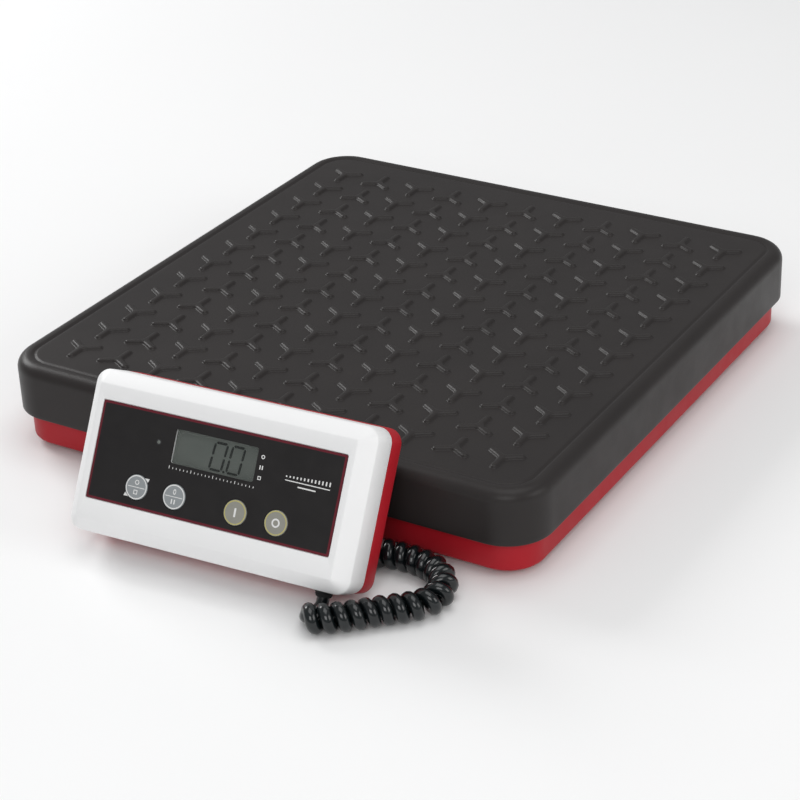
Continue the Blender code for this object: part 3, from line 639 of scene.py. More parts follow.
def deckLoop(mesh, box, inset, level, look):
    low, high = box
    middle = (low + high) / 2
    radius = max(look["corner"] - inset, 2 * mm)
    outline = roundedLoop((high.x - low.x) / 2 - inset, (high.y - low.y) / 2 - inset, radius,
                          look["cornerSteps"])
    return addLoop(mesh, [(middle.x + x, middle.y + y, level) for x, y in outline])


def makeDeck(look, treads):
    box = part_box("deck")
    middle = (box[0] + box[1]) / 2
    top, bottom, sheet, edge = box[1].z, box[0].z, look["sheet"], look["edge"]
    field = top - look["fieldDrop"]
    groove, half, depth = look["groove"], look["grooveHalf"], look["grooveDepth"]
    trough = 0.06 * mm
    outside = [(groove + half * 2.0, field), (groove + half * 1.15, field),
               (groove + half * 0.8, field - trough), (groove + half * 0.3, top - depth * 0.93),
               (groove, top - depth), (groove - half * 0.3, top - depth * 0.9),
               (groove - half * 0.85, top - trough), (groove - half * 1.25, top),
               (edge + 0.15 * mm, top)]
    for step in range(look["edgeSteps"] + 1):
        angle = pi / 2 * (1 - step / look["edgeSteps"])
        outside.append((edge - edge * cos(angle), top - edge + edge * sin(angle)))
    lip = look["lip"]
    outside += [(0, bottom + 2.2 * mm), (0, bottom + lip), (lip * 0.3, bottom + lip * 0.3),
                (lip, bottom)]
    inner = edge - sheet
    inside = [(sheet - lip, bottom), (sheet - lip * 0.3, bottom + lip * 0.3), (sheet, bottom + lip),
              (sheet, top - edge)]
    for step in range(1, 6):
        angle = pi / 2 * step / 5
        inside.append((edge - inner * cos(angle), top - edge + inner * sin(angle)))
    inside.append((groove + half * 2, top - sheet))
    mesh = newMesh()
    loops = [deckLoop(mesh, box, inset, level, look) for inset, level in outside + inside]
    bridgeAll(mesh, loops)
    fillFlat(mesh, loops[0], addTreads(mesh, middle, field, topRise, treads))
    fillFlat(mesh, loops[-1], addTreads(mesh, middle, top - sheet, underRise, treads))
    settle(toObject("treadDeck", mesh, ["deckPaint"], 50), "deck", ["deck"])


makeDeck(deckLook, treadLook)
print("deck pressed")


trayLook = {
    "wall": 2.5 * mm,
    "corner": 18.9 * mm,
    "cornerSteps": 12,
    "edge": 2.4 * mm,
    "lip": 0.5 * mm,
    "glandHole": 4.8 * mm,
    "screwHole": 1.8 * mm,
    "skin": 1.0 * mm,           # left under a screw hole
    "ribSpots": (-100.0 * mm, -60.0 * mm, -20.0 * mm, 20.0 * mm, 60.0 * mm, 100.0 * mm),
}


def makeTray(look):
    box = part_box("base_tray")
    low, high = box
    wall, edge, lip = look["wall"], look["edge"], look["lip"]
    outside = [(edge, low.z), (edge * 0.62, low.z + edge * 0.07), (edge * 0.29, low.z + edge * 0.29),
               (edge * 0.07, low.z + edge * 0.62), (0, low.z + edge), (0, high.z - lip),
               (lip * 0.3, high.z - lip * 0.3), (lip, high.z)]
    inner = 0.8 * mm
    inside = [(wall - lip, high.z), (wall - lip * 0.3, high.z - lip * 0.3), (wall, high.z - lip),
              (wall, low.z + wall + inner), (wall + inner * 0.3, low.z + wall + inner * 0.3),
              (wall + inner, low.z + wall)]
    mesh = newMesh()
    loops = [deckLoop(mesh, box, inset, level, look) for inset, level in outside + inside]
    addStack(mesh, loops)
    tray = toObject("redTray", mesh, ["redPlastic"])
    x, y, z = cordSizes["exit"]
    tools = [roundTool(look["glandHole"], 20 * mm, -20 * mm, 32,
                       Matrix.Translation((x, low.y, z)) @ lyingDown)]
    for number in range(1, 5):      # blind holes for the plate's screws
        start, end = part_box(f"plate_screw_{number}")
        place = ((start.x + end.x) / 2, (start.y + end.y) / 2, low.z + look["skin"])
        tools.append(roundTool(look["screwHole"], 10 * mm, 0, 20, Matrix.Translation(place)))
    bpy.context.view_layer.update()
    cutWith(tray, tools)
    settle(tray, "base", ["base_tray"])
    ribs = newMesh()
    for x in look["ribSpots"]:      # moulded ribs that stiffen the long walls
        for y, way in ((low.y + wall, 1), (high.y - wall, -1)):
            if way == 1 and abs(x - cordSizes["exit"][0]) < 12 * mm:
                continue
            start, end = sorted((y - way * 0.6 * mm, y + way * 5 * mm))
            roundedBar(ribs, (x - 0.9 * mm, start, low.z + wall - 0.6 * mm),
                       (x + 0.9 * mm, end, high.z - 3 * mm), 0.35 * mm, steps=2)
    settle(toObject("trayRibs", ribs, ["redPlastic"]), "base")


makeTray(trayLook)

footLook = {
    "groove": 0.5 * mm,
    "round": 0.7 * mm,
    "steps": 40,
    "stopTop": ((0, 0), (3.6, 0), (4.6, -0.4), (5.0, -1.2)),      # from its upper end down
    "stopNeck": ((5.0, 9.0), (4.6, 8.6), (4.6, 7.4), (5.0, 7.0), (5.0, 3.4), (5.6, 3.0)),
}


# a turned piece that stands upright in the middle of its CAD node
def turnedPiece(name, node, body, finish, profile, steps=32):
    low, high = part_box(node)
    place = Matrix.Translation(((low.x + high.x) / 2, (low.y + high.y) / 2, low.z))
    settle(toObject(name, turnedMesh(profile, steps), [finish], 30, place), body, [node])


# a low disc with softened edges and a groove round its side
def discProfile(radius, height, edge, groove):
    return [(0, height), (radius - edge, height), (radius - edge * 0.3, height - edge * 0.3),
            (radius, height - edge), (radius, height * 0.62), (radius - groove, height * 0.56),
            (radius - groove, height * 0.44), (radius, height * 0.38), (radius, edge),
            (radius - edge * 0.3, edge * 0.3), (radius - edge, 0), (0, 0)]


def makeFeetAndPads(look):
    for number in range(1, 5):
        for name, node, body in ((f"rubberFoot{number}", f"foot_{number}", "base"),
                                 (f"deckPad{number}", f"deck_pad_{number}", "weighing")):
            low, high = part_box(node)
            profile = discProfile((high.x - low.x) / 2, high.z - low.z, look["round"],
                                  look["groove"])
            turnedPiece(name, node, body, "blackRubber", profile, look["steps"])
        low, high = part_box(f"overload_stop_{number}")
        tall, wide = high.z - low.z, (high.x - low.x) / 2
        profile = [(radius, tall + drop) for radius, drop in sized(look["stopTop"])]
        profile += sized(look["stopNeck"])
        profile += [(wide - 0.4 * mm, 3.0 * mm), (wide, 2.6 * mm), (wide, 0.3 * mm),
                    (wide - 0.3 * mm, 0), (0, 0)]
        turnedPiece(f"stopPost{number}", f"overload_stop_{number}", "base", "zincSteel", profile)


makeFeetAndPads(footLook)

boltLook = {"shank": 3.0 * mm, "head": 5.0 * mm, "headHeight": 2.3 * mm, "socket": 2.0 * mm,
            "screwShank": 1.5 * mm, "screwHead": 2.9 * mm, "screwHeight": 1.6 * mm, "slot": 0.8 * mm}


# a low round head with a hexagon socket
def socketBolt(name, node, body, look):
    low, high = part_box(node)
    tall = high.z - low.z
    under, edge = tall - look["headHeight"], 0.4 * mm
    item = toObject(name, turnedMesh(
        [(0, tall), (look["head"] - edge, tall), (look["head"], tall - edge),
         (look["head"], under + 0.2 * mm), (look["head"] - 0.2 * mm, under), (look["shank"], under),
         (look["shank"], 0.5 * mm), (look["shank"] - 0.5 * mm, 0), (0, 0)], 32), ["zincSteel"])
    bit = [(0, mm), (look["socket"], mm), (look["socket"], -1.4 * mm), (0, -1.8 * mm)]
    tool = toObject("holeTool", turnedMesh([(radius, tall + rise) for radius, rise in bit], 6), [])
    bpy.context.view_layer.update()
    cutWith(item, [tool])
    item.matrix_world = Matrix.Translation(((low.x + high.x) / 2, (low.y + high.y) / 2, low.z))
    settle(item, body, [node])


# a pan head with a cross recess; its shank runs down from the head's seat at z 0
def crossScrewData(look, length):
    height, head, shank = look["screwHeight"], look["screwHead"], look["screwShank"]
    item = toObject("screwPattern", turnedMesh(
        [(0, height), (head * 0.45, height * 0.96), (head * 0.8, height * 0.72), (head, height * 0.30),
         (head, 0.15 * mm), (head - 0.15 * mm, 0), (shank, 0), (shank, -length + shank),
         (0, -length)], 28), ["zincSteel"])
    tools = []
    for turn in (0, pi / 2):
        bar = newMesh()
        half, reach = look["slot"] / 2, head * 0.56
        corners = ((1, 1), (-1, 1), (-1, -1), (1, -1))
        rows = ((1.0, height + mm), (1.0, height * 0.7), (0.55, height * 0.2))
        loops = [addLoop(bar, [(sx * reach * k, sy * half * k, z) for sx, sy in corners])
                 for k, z in rows]
        addStack(bar, loops)
        tools.append(toObject("holeTool", bar, [], matrix=Matrix.Rotation(turn, 4, "Z")))
    bpy.context.view_layer.update()
    cutWith(item, tools)
    data = item.data
    bpy.data.objects.remove(item)
    return data


def addScrew(name, data, place, body, node):
    item = bpy.data.objects.new(name, data)
    scene.collection.objects.link(item)
    item.matrix_world = place
    settle(item, body, [node])


for number in (1, 2):
    socketBolt(f"fixedBolt{number}", f"cell_bolt_fixed_{number}", "base", boltLook)
    socketBolt(f"freeBolt{number}", f"cell_bolt_free_{number}", "weighing", boltLook)
low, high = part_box("plate_screw_1")
plateScrew = crossScrewData(boltLook, high.z - low.z - boltLook["screwHeight"])
for number in range(1, 5):
    low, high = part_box(f"plate_screw_{number}")
    place = Matrix.Translation(((low.x + high.x) / 2, (low.y + high.y) / 2,
                                high.z - boltLook["screwHeight"]))
    addScrew(f"plateScrew{number}", plateScrew, place @ Matrix.Rotation(0.7 * number, 4, "Z"),
             "base", f"plate_screw_{number}")

roundedCopy("base_plate", "stiffPlate", "base", "rolledSteel", 0.4 * mm)
roundedCopy("load_cell", "loadCell", "base", "milledAluminium", 0.5 * mm)
roundedCopy("cell_spacer_fixed", "fixedSpacer", "base", "zincSteel", 0.3 * mm)
roundedCopy("cell_spacer_free", "freeSpacer", "weighing", "zincSteel", 0.3 * mm)
roundedCopy("weighing_frame", "weighingFrame", "weighing", "rolledSteel", 0.7 * mm)


glandLook = {
    "tip": 3.6 * mm,
    "bore": 3.02 * mm,
    "rings": 3,
    "ringPitch": 1.2 * mm,
    "ring": ((0.1, 0.0), (0.42, -0.25), (0.42, -0.65), (0.16, -0.9)),   # over the tip, back
    "spread": 0.22 * mm,        # each ring stands this much prouder than the one before
    "flange": ((4.5, 0.3), (4.5, -2.8), (6.1, -2.85), (6.3, -3.0), (6.3, -4.6), (6.1, -4.8)),
    "inside": -4.8 * mm,
    "steps": 32,
}


# a ribbed rubber bush that tapers to the cord
def makeGland(look):
    x, y, z = cordSizes["exit"]
    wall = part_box("base_tray")[0].y
    out, tip, bore = wall - y, look["tip"], look["bore"]
    profile = [(bore, out), (tip, out), (tip + 0.15 * mm, out - 0.3 * mm)]
    for ring in range(look["rings"]):
        start = out - 0.9 * mm - ring * look["ringPitch"]
        profile += [(tip + proud + ring * look["spread"], start + along)
                    for proud, along in sized(look["ring"])]
    profile += [*sized(look["flange"]), (bore, look["inside"]), (bore, out)]
    mesh = turnedMesh(profile, look["steps"])
    place = Matrix.Translation((x, wall, z)) @ lyingDown
    settle(toObject("cordGland", mesh, ["blackRubber"], 35, place), "base",
           ["cord_gland"])


makeGland(glandLook)

cellLeadLook = {
    "start": (15.3, 16.0),
    "route": ((21.0, 14.7, 15.6), (28.0, 6.1, 12.6), (37.0, -27.9, 10.4), (48.0, -63.9, 10.4),
              (56.0, -89.9, 10.8), (58.0, -105.9, 12.0)),
    "radius": 1.6 * mm,
    "step": 2.5 * mm,
    "sides": 12,
    "intoCell": 0.5 * mm,
    "fromWall": 4.8 * mm,
}


# the load cell's own lead, from its side to the gland
def makeCellWire(look):
    x, y, z = cordSizes["exit"]
    startY, startZ = look["start"]
    route = [(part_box("load_cell")[1].x - look["intoCell"], startY * mm, startZ * mm)]
    route += [Vector(p) * mm for p in look["route"]]
    route.append((x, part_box("base_tray")[0].y + look["fromWall"], z))
    path = evenly(smoothRoute(route), look["step"])
    mesh = tubeMesh(path, look["radius"], look["sides"])
    settle(toObject("cellLead", mesh, ["cordJacket"], 60), "base", ["cell_wire"])


makeCellWire(cellLeadLook)
print("tray and works made")


# its pieces are drawn with x across, y up its face and z out of it
faceWorld = toWorld @ lyingDown
reliefPlace = faceWorld @ Matrix.Translation((reliefSpot["x"], 0, -reliefSpot["y"])) @ lyingDown

shellLook = {
    "half": (75.0 * mm, 38.5 * mm),
    "middle": (0.0, 38.5 * mm),
    "corner": 7.0 * mm,
    "faceCorner": 1.2 * mm,
    "steps": 7,
    "outside": ((7.1, 0), (6.75, 0.05), (6.35, 0.24), (0.5, 6.05), (0.16, 6.45), (0, 7.0), (0, 20.5),
                (0.12, 20.85), (0.4, 21.0), (2.2, 21.0)),
    "inside": ((2.2, 7.4), (6.8, 2.2)),
    "pocket": (65.0 * mm, 23.5 * mm),
    "pocketDepth": 1.0 * mm,
    "pocketCorner": 0.8 * mm,
    "skin": 2.2 * mm,
    "keyHole": 6.5 * mm,
    "windowHole": (22.3 * mm, 8.3 * mm),
    "reliefHole": 4.8 * mm,
    "posts": ((65.5 * mm, 9.5 * mm), (65.5 * mm, 67.5 * mm), (-65.5 * mm, 9.5 * mm),
              (-65.5 * mm, 67.5 * mm)),
}
overlayLook = {
    "half": (64.7 * mm, 23.2 * mm),
    "middle": (0.0, 39.6 * mm),
    "band": 1.15 * mm,
    "front": 0.1 * mm,
    "back": 0.7 * mm,
    "keyHole": 6.2 * mm,
    "window": (22.0 * mm, 8.0 * mm),
    "windowMiddle": (-1.8 * mm, 49.0 * mm),
    "windowCorner": 1.2 * mm,
    "corner": 0.8 * mm,
}
keyLook = {
    "places": {"units": (-38.7 * mm, 26.3 * mm), "zero_hold": (-18.2 * mm, 26.1 * mm),
               "on": (14.5 * mm, 25.8 * mm), "off": (35.9 * mm, 25.6 * mm)},
    "stemEnd": 5.6 * mm,
    "height": 5.8 * mm,
    "radius": 5.9 * mm,
    "ring": (5.1 * mm, 5.6 * mm),
    "stem": 2.0 * mm,
    "steps": 48,
}


def faceLoop(mesh, half, middle, radius, depth, steps=6):
    return addLoop(mesh, [(middle[0] + x, middle[1] + y, -depth)
                          for x, y in roundedLoop(half[0], half[1], radius, steps)])


# the same outline drawn in by each inset, at each depth
def faceLoops(mesh, half, middle, radius, rows):
    return [faceLoop(mesh, (half[0] - inset, half[1] - inset), middle, radius - inset, depth)
            for inset, depth in rows]


def ringLoop(mesh, place, radius, depth, steps=36):
    return addLoop(mesh, [(x, y, -depth) for x, y in circleLoop(*place, radius, steps)])


def shellLoop(mesh, inset, depth, look):
    half = (look["half"][0] - inset, look["half"][1] - inset)
    radius = max(look["corner"] - inset, look["faceCorner"])
    return faceLoop(mesh, half, look["middle"], radius, depth, look["steps"])


# the window's loop and the four keys', at each depth
def holeLoops(mesh, depths, window, hole, steps=36):
    rows = []
    for depth in depths:
        rows.append([faceLoop(mesh, window, overlayLook["windowMiddle"],
                              overlayLook["windowCorner"], depth)])
        rows[-1] += [ringLoop(mesh, place, hole, depth, steps)
                     for place in keyLook["places"].values()]
    return rows


def makeFrontShell(look, overlay):
    mesh = newMesh()
    rows = [*look["outside"], *look["inside"]]
    loops = [shellLoop(mesh, inset * mm, depth * mm, look) for inset, depth in rows]
    bridgeAll(mesh, loops)
    edge = 0.2 * mm
    steps = faceLoops(mesh, look["pocket"], overlay["middle"], look["pocketCorner"],
                      ((-edge, 0), (-edge * 0.3, edge * 0.3), (0, edge), (0, look["pocketDepth"])))
    bridgeAll(mesh, steps)
    fillFlat(mesh, loops[0], [steps[0]])
    near, far = holeLoops(mesh, (look["pocketDepth"], look["skin"]), look["windowHole"],
                          look["keyHole"])
    fillFlat(mesh, steps[-1], near)
    fillFlat(mesh, loops[-1], far)
    for one, two in zip(near, far):
        bridge(mesh, one, two)
    shell = toObject("whiteFront", mesh, ["whitePlastic"], 24, faceWorld)
    tool = roundTool(look["reliefHole"], 8 * mm, -3.2 * mm, 28, reliefPlace)
    bpy.context.view_layer.update()
    cutWith(shell, [tool])
    settle(shell, "display", ["display_front"])
    posts = newMesh()
    for place in look["posts"]:
        loops = [ringLoop(posts, place, radius * mm, depth * mm, 20)
                 for radius, depth in ((3.4, 1.9), (3.6, 2.4), (3.6, 19.7), (3.3, 20.0), (1.8, 20.0),
                                       (1.8, 12.0))]
        addStack(posts, loops)
    settle(toObject("screwPosts", posts, ["whitePlastic"], 35, faceWorld), "display")


makeFrontShell(shellLook, overlayLook)

backLook = {
    "start": 21.3 * mm,
    "end": 32.5 * mm,
    "wall": 2.2 * mm,
    "round": 2.0 * mm,
    "opening": ((-43.8 * mm, 21.2 * mm), (18.6 * mm, 55.3 * mm)),
    "doorGap": 0.3 * mm,
    "finMiddle": 56.0 * mm,
    "finHalf": 3.0 * mm,
    "fin": ((31.4, 2.4), (32.5, 1.2), (40.76, 4.69), (39.9, 6.4), (32.5, 19.23), (31.4, 19.23)),
    "finEdge": 0.5 * mm,
    "screwHole": 1.8 * mm,
}


def openingLoop(mesh, opening, grow, depth, radius=1.0 * mm):
    (x1, y1), (x2, y2) = opening
    half = ((x2 - x1) / 2 + grow, (y2 - y1) / 2 + grow)
    return faceLoop(mesh, half, ((x1 + x2) / 2, (y1 + y2) / 2), max(radius + grow, 0.3 * mm), depth, 4)


def addFin(mesh, x, look):
    half, edge = look["finHalf"], look["finEdge"]
    middle = [sum(p[axis] for p in look["fin"]) / len(look["fin"]) for axis in (0, 1)]
    loops = []
    for offset, shrink in ((-half, edge), (-half + edge * 0.3, edge * 0.3), (-half + edge, 0),
                           (half - edge, 0), (half - edge * 0.3, edge * 0.3), (half, edge)):
        loop = []
        for depth, up in look["fin"]:
            away = Vector((depth - middle[0], up - middle[1]))
            away *= (away.length * mm - shrink) / (away.length * mm)
            loop.append((x + offset, (middle[1] + away.y) * mm, -(middle[0] + away.x) * mm))
        loops.append(addLoop(mesh, loop))
    addStack(mesh, loops)


def makeBackShell(look, shell):
    mesh = newMesh()
    start, end, wall, edge = look["start"], look["end"], look["wall"], look["round"]
    outside = [(wall, start), (0.4 * mm, start), (0.12 * mm, start + 0.15 * mm), (0, start + 0.5 * mm),
               (0, end - edge)]
    for step in range(1, 7):
        angle = pi / 2 * step / 6
        outside.append((edge - edge * cos(angle), end - edge + edge * sin(angle)))
    outer = [shellLoop(mesh, inset, depth, shell) for inset, depth in outside]
    bridgeAll(mesh, outer)
    inner = [shellLoop(mesh, inset, depth, shell)
             for inset, depth in ((wall, start), (wall, end - wall - 0.6 * mm),
                                  (wall + 0.2 * mm, end - wall - 0.2 * mm),
                                  (wall + 0.6 * mm, end - wall))]
    bridgeAll(mesh, inner)
    rows = []
    for depth, grow in ((end, 0.2 * mm), (end - 0.2 * mm, 0), (end - wall, 0)):
        rows.append([openingLoop(mesh, look["opening"], grow, depth)])
        rows[-1] += [ringLoop(mesh, place, look["screwHole"] + grow, depth, 20)
                     for place in shell["posts"]]
    fillFlat(mesh, outer[-1], rows[0])
    fillFlat(mesh, inner[-1], rows[-1])
    for one, two in zip(rows, rows[1:]):
        for loopA, loopB in zip(one, two):
            bridge(mesh, loopA, loopB)
    lip = [shellLoop(mesh, inset * mm, depth * mm, shell)      # the lip inside the parting line
           for inset, depth in ((2.5, 23.2), (2.5, 20.1), (2.7, 19.9), (3.6, 19.9), (3.8, 20.1),
                                (3.8, 23.2))]
    bridgeAll(mesh, [*lip, lip[0]])
    for way in (-1, 1):
        addFin(mesh, way * look["finMiddle"], look)
    settle(toObject("redBack", mesh, ["redPlastic"], 30, faceWorld), "display",
           ["display_back"])


makeBackShell(backLook, shellLook)

doorLook = {
    "inner": 30.3 * mm,
    "outer": 32.5 * mm,
    "edge": 0.35 * mm,
    "gripPlace": (10.3 * mm, 38.25 * mm),
    "gripRadius": 5.0 * mm,
    "gripDepth": 0.8 * mm,
    "gripSteps": (1.0, 0.94, 0.85, 0.72, 0.5, 0.25),
    "ribs": 7,
    "ribPitch": 2.6 * mm,
    "ribHalf": 0.45 * mm,
    "ribLength": 22.0 * mm,
    "ribProud": 0.35 * mm,
    "firstRib": -38.6 * mm,
}


def makeBatteryDoor(look, back):
    mesh = newMesh()
    gap, outer, edge = back["doorGap"], look["outer"], look["edge"]
    rows = ((-gap - edge, look["inner"]), (-gap, look["inner"] + edge), (-gap, outer - edge),
            (-gap - edge * 0.3, outer - edge * 0.3), (-gap - edge, outer))
    loops = [openingLoop(mesh, back["opening"], grow, depth) for grow, depth in rows]
    bridgeAll(mesh, loops)
    addFace(mesh, loops[0])
    bowl = [ringLoop(mesh, look["gripPlace"], look["gripRadius"] * k,
                     outer - look["gripDepth"] * (1 - k ** 4)) for k in look["gripSteps"]]
    bridgeAll(mesh, bowl)
    addFace(mesh, bowl[-1])
    fillFlat(mesh, loops[-1], [bowl[0]])
    middle = (back["opening"][0][1] + back["opening"][1][1]) / 2
    wide, proud = look["ribHalf"], look["ribProud"]
    for number in range(look["ribs"]):
        x = look["firstRib"] + number * look["ribPitch"]
        rib = []
        for shrink, rise in ((0, -0.2 * mm), (0, proud * 0.5), (0.25 * mm, proud)):
            half = (wide - shrink * 0.8, look["ribLength"] / 2 - shrink)
            rib.append(faceLoop(mesh, half, (x, middle), wide * 0.9 - shrink * 0.8, outer + rise, 4))
        addStack(mesh, rib)
    settle(toObject("batteryDoor", mesh, ["redPlastic"], 30, faceWorld), "battery_cover",
           ["battery_door"])


makeBatteryDoor(doorLook, backLook)

caseScrew = crossScrewData(boltLook, 20 * mm)
for number, (x, y) in enumerate(sorted(shellLook["posts"]), 1):
    place = faceWorld @ Matrix.Translation((x, y, -32.8 * mm)) @ Matrix.Rotation(pi, 4, "X")
    addScrew(f"caseScrew{number}", caseScrew, place @ Matrix.Rotation(0.9 * number, 4, "Z"),
             "display", f"case_screw_{number}")


# a printed mark, a hair thick; inner is the outline of its open middle
def addInk(mesh, outline, level, slot=0, inner=None, ink=0.03 * mm):
    low, high = level - ink * 0.7, level + ink
    loops = [addLoop(mesh, [(x, y, z) for x, y in outline]) for z in (low, high)]
    bridge(mesh, *loops, slot)
    if inner is None:
        addFace(mesh, loops[0], slot)
        addFace(mesh, loops[1], slot)
        return
    holes = [addLoop(mesh, [(x, y, z) for x, y in inner]) for z in (low, high)]
    bridge(mesh, *holes, slot)
    bridge(mesh, loops[0], holes[0], slot)
    bridge(mesh, loops[1], holes[1], slot)


def barOutline(place, half, radius=0.1 * mm, steps=2):
    return [(place[0] + x, place[1] + y) for x, y in roundedLoop(half[0], half[1], radius, steps)]


def makeOverlay(look, keys):
    mesh = newMesh()
    half, middle, band = look["half"], look["middle"], look["band"]
    field = (half[0] - band, half[1] - band)
    edge = 0.1 * mm
    sides = faceLoops(mesh, half, middle, look["corner"],
                      ((edge, look["front"]), (0, look["front"] + edge), (0, look["back"])))
    inner = faceLoop(mesh, field, middle, 0.5 * mm, look["front"])
    bridgeAll(mesh, [inner, *sides], 1)
    rows = holeLoops(mesh, (look["front"], look["back"]), look["window"], look["keyHole"],
                     keys["steps"])
    fillFlat(mesh, inner, rows[0])
    fillFlat(mesh, sides[-1], rows[1])
    for one, two in zip(*rows):
        bridge(mesh, one, two)
    settle(toObject("overlaySheet", mesh, ["overlayFilm", "borderInk"], 30, faceWorld), "display",
           ["overlay"])


# in millimetres; the column of marks stands to the right of the window
marksLook = {
    "arrowReach": (5.0, 4.4),
    "arrowTurn": 0.35,
    "arrow": ((pi, 1.5), (pi - 2.3, 1.25), (pi + 2.3, 1.25)),
    "column": 2.9,
    "ring": (4.3, 0.95, 0.55),
    "pair": (-0.6, 0.62, (0.28, 0.95)),
    "square": (-5.4, 0.85, 0.5),
    "ticks": (24, -22.0, 1.95, -10.4, 0.15),
    "tickHeights": (0.85, 0.5, 0.5, 0.5, 0.5, 0.5),
    "scale": (13, 36.6, 1.85, 47.0, 0.34),
    "scaleHeights": (0.7, 0.11),        # the first, and what each next one adds
    "lines": (((47.7, 45.6), (11.5, 0.22)), ((47.7, 43.6), (4.6, 0.3))),
    "spot": (-31.7, 49.1),
    "lens": ((0, 0.20), (0.35, 0.18), (0.7, 0.10), (0.8, 0.02), (1.15, 0.05), (1.35, 0),
             (1.35, -0.05), (0, -0.05)),
}


# generic marks where the real sheet is printed: pointers, ticks and a small scale
def makeOverlayMarks(look, overlay, keys):
    mesh = newMesh()
    level = -overlay["front"]
    x, y = keys["places"]["units"]
    reachX, reachY = look["arrowReach"]
    for side, turn in ((1, -look["arrowTurn"]), (-1, pi - look["arrowTurn"])):
        tip = Vector((x + side * reachX * mm, y + side * reachY * mm))
        addInk(mesh, [tip + Vector((cos(turn + angle), sin(turn + angle))) * far * mm
                      for angle, far in look["arrow"]], level)
    windowX, windowY = overlay["windowMiddle"]
    column = windowX + overlay["window"][0] + look["column"] * mm
    rise, outer, inner = look["ring"]
    addInk(mesh, circleLoop(column, windowY + rise * mm, outer * mm, 20), level,
           inner=circleLoop(column, windowY + rise * mm, inner * mm, 20))
    rise, apart, (wide, tall) = look["pair"]
    for shift in (-apart, apart):
        addInk(mesh, barOutline((column + shift * mm, windowY + rise * mm), (wide * mm, tall * mm)),
               level)
    rise, outer, inner = look["square"]
    addInk(mesh, barOutline((column, windowY + rise * mm), (outer * mm, outer * mm)), level,
           inner=barOutline((column, windowY + rise * mm), (inner * mm, inner * mm)))
    count, start, pitch, foot, wide = look["ticks"]
    for number in range(count):        # a row of fine ticks under the window
        tall = look["tickHeights"][number % len(look["tickHeights"])]
        place = (windowX + (start + number * pitch) * mm, windowY + (foot + tall / 2) * mm)
        addInk(mesh, barOutline(place, (wide * mm, tall * mm / 1.2), 0.05 * mm, 1), level)
    count, start, pitch, foot, wide = look["scale"]
    for number in range(count):        # a small scale at the right, its ticks growing
        tall = look["scaleHeights"][0] + look["scaleHeights"][1] * number
        place = ((start + number * pitch) * mm, (foot + tall / 2) * mm)
        addInk(mesh, barOutline(place, (wide * mm, tall * mm / 2)), level)
    for place, half in look["lines"]:
        addInk(mesh, barOutline(*sized((place, half))), level)
    settle(toObject("overlayMarks", mesh, ["whiteInk"], 30, faceWorld), "display")
    lens = turnedMesh(sized(look["lens"]), 24, [0, 0, 0, 1, 1, 1, 1])
    spotX, spotY = look["spot"]
    place = faceWorld @ Matrix.Translation((spotX * mm, spotY * mm, level))
    settle(toObject("lightSpot", lens, ["lcdGrey", "blackPlastic"], 40, place), "display")


makeOverlay(overlayLook, keyLook)
makeOverlayMarks(marksLook, overlayLook, keyLook)

figureLook = {
    "height": 12.6 * mm,
    "width": 6.4 * mm,
    "stroke": 0.60 * mm,       # half of it
    "slant": 0.10,
    "gap": 0.28 * mm,
    "places": (0.9 * mm, 10.1 * mm),      # from the window's middle
    "drop": -0.5 * mm,
}


# a bar with pointed ends between two points of the figure
def segmentOutline(start, end, half, slant, place):
    start, end = Vector(start), Vector(end)
    along = (end - start).normalized()
    side = Vector((-along.y, along.x)) * half
    points = [start, start + along * half + side, end - along * half + side, end,
              end - along * half - side, start + along * half - side]
    return [(place[0] + p.x + p.y * slant, place[1] + p.y) for p in points]


def addZero(mesh, place, look, level):
    w, h, g = look["width"] / 2, look["height"] / 2, look["gap"]
    for start, end in (((-w + g, h), (w - g, h)), ((-w + g, -h), (w - g, -h)), ((-w, g), (-w, h - g)),
                       ((w, g), (w, h - g)), ((-w, -h + g), (-w, -g)), ((w, -h + g), (w, -g))):
        addInk(mesh, segmentOutline(start, end, look["stroke"], look["slant"], place), level)


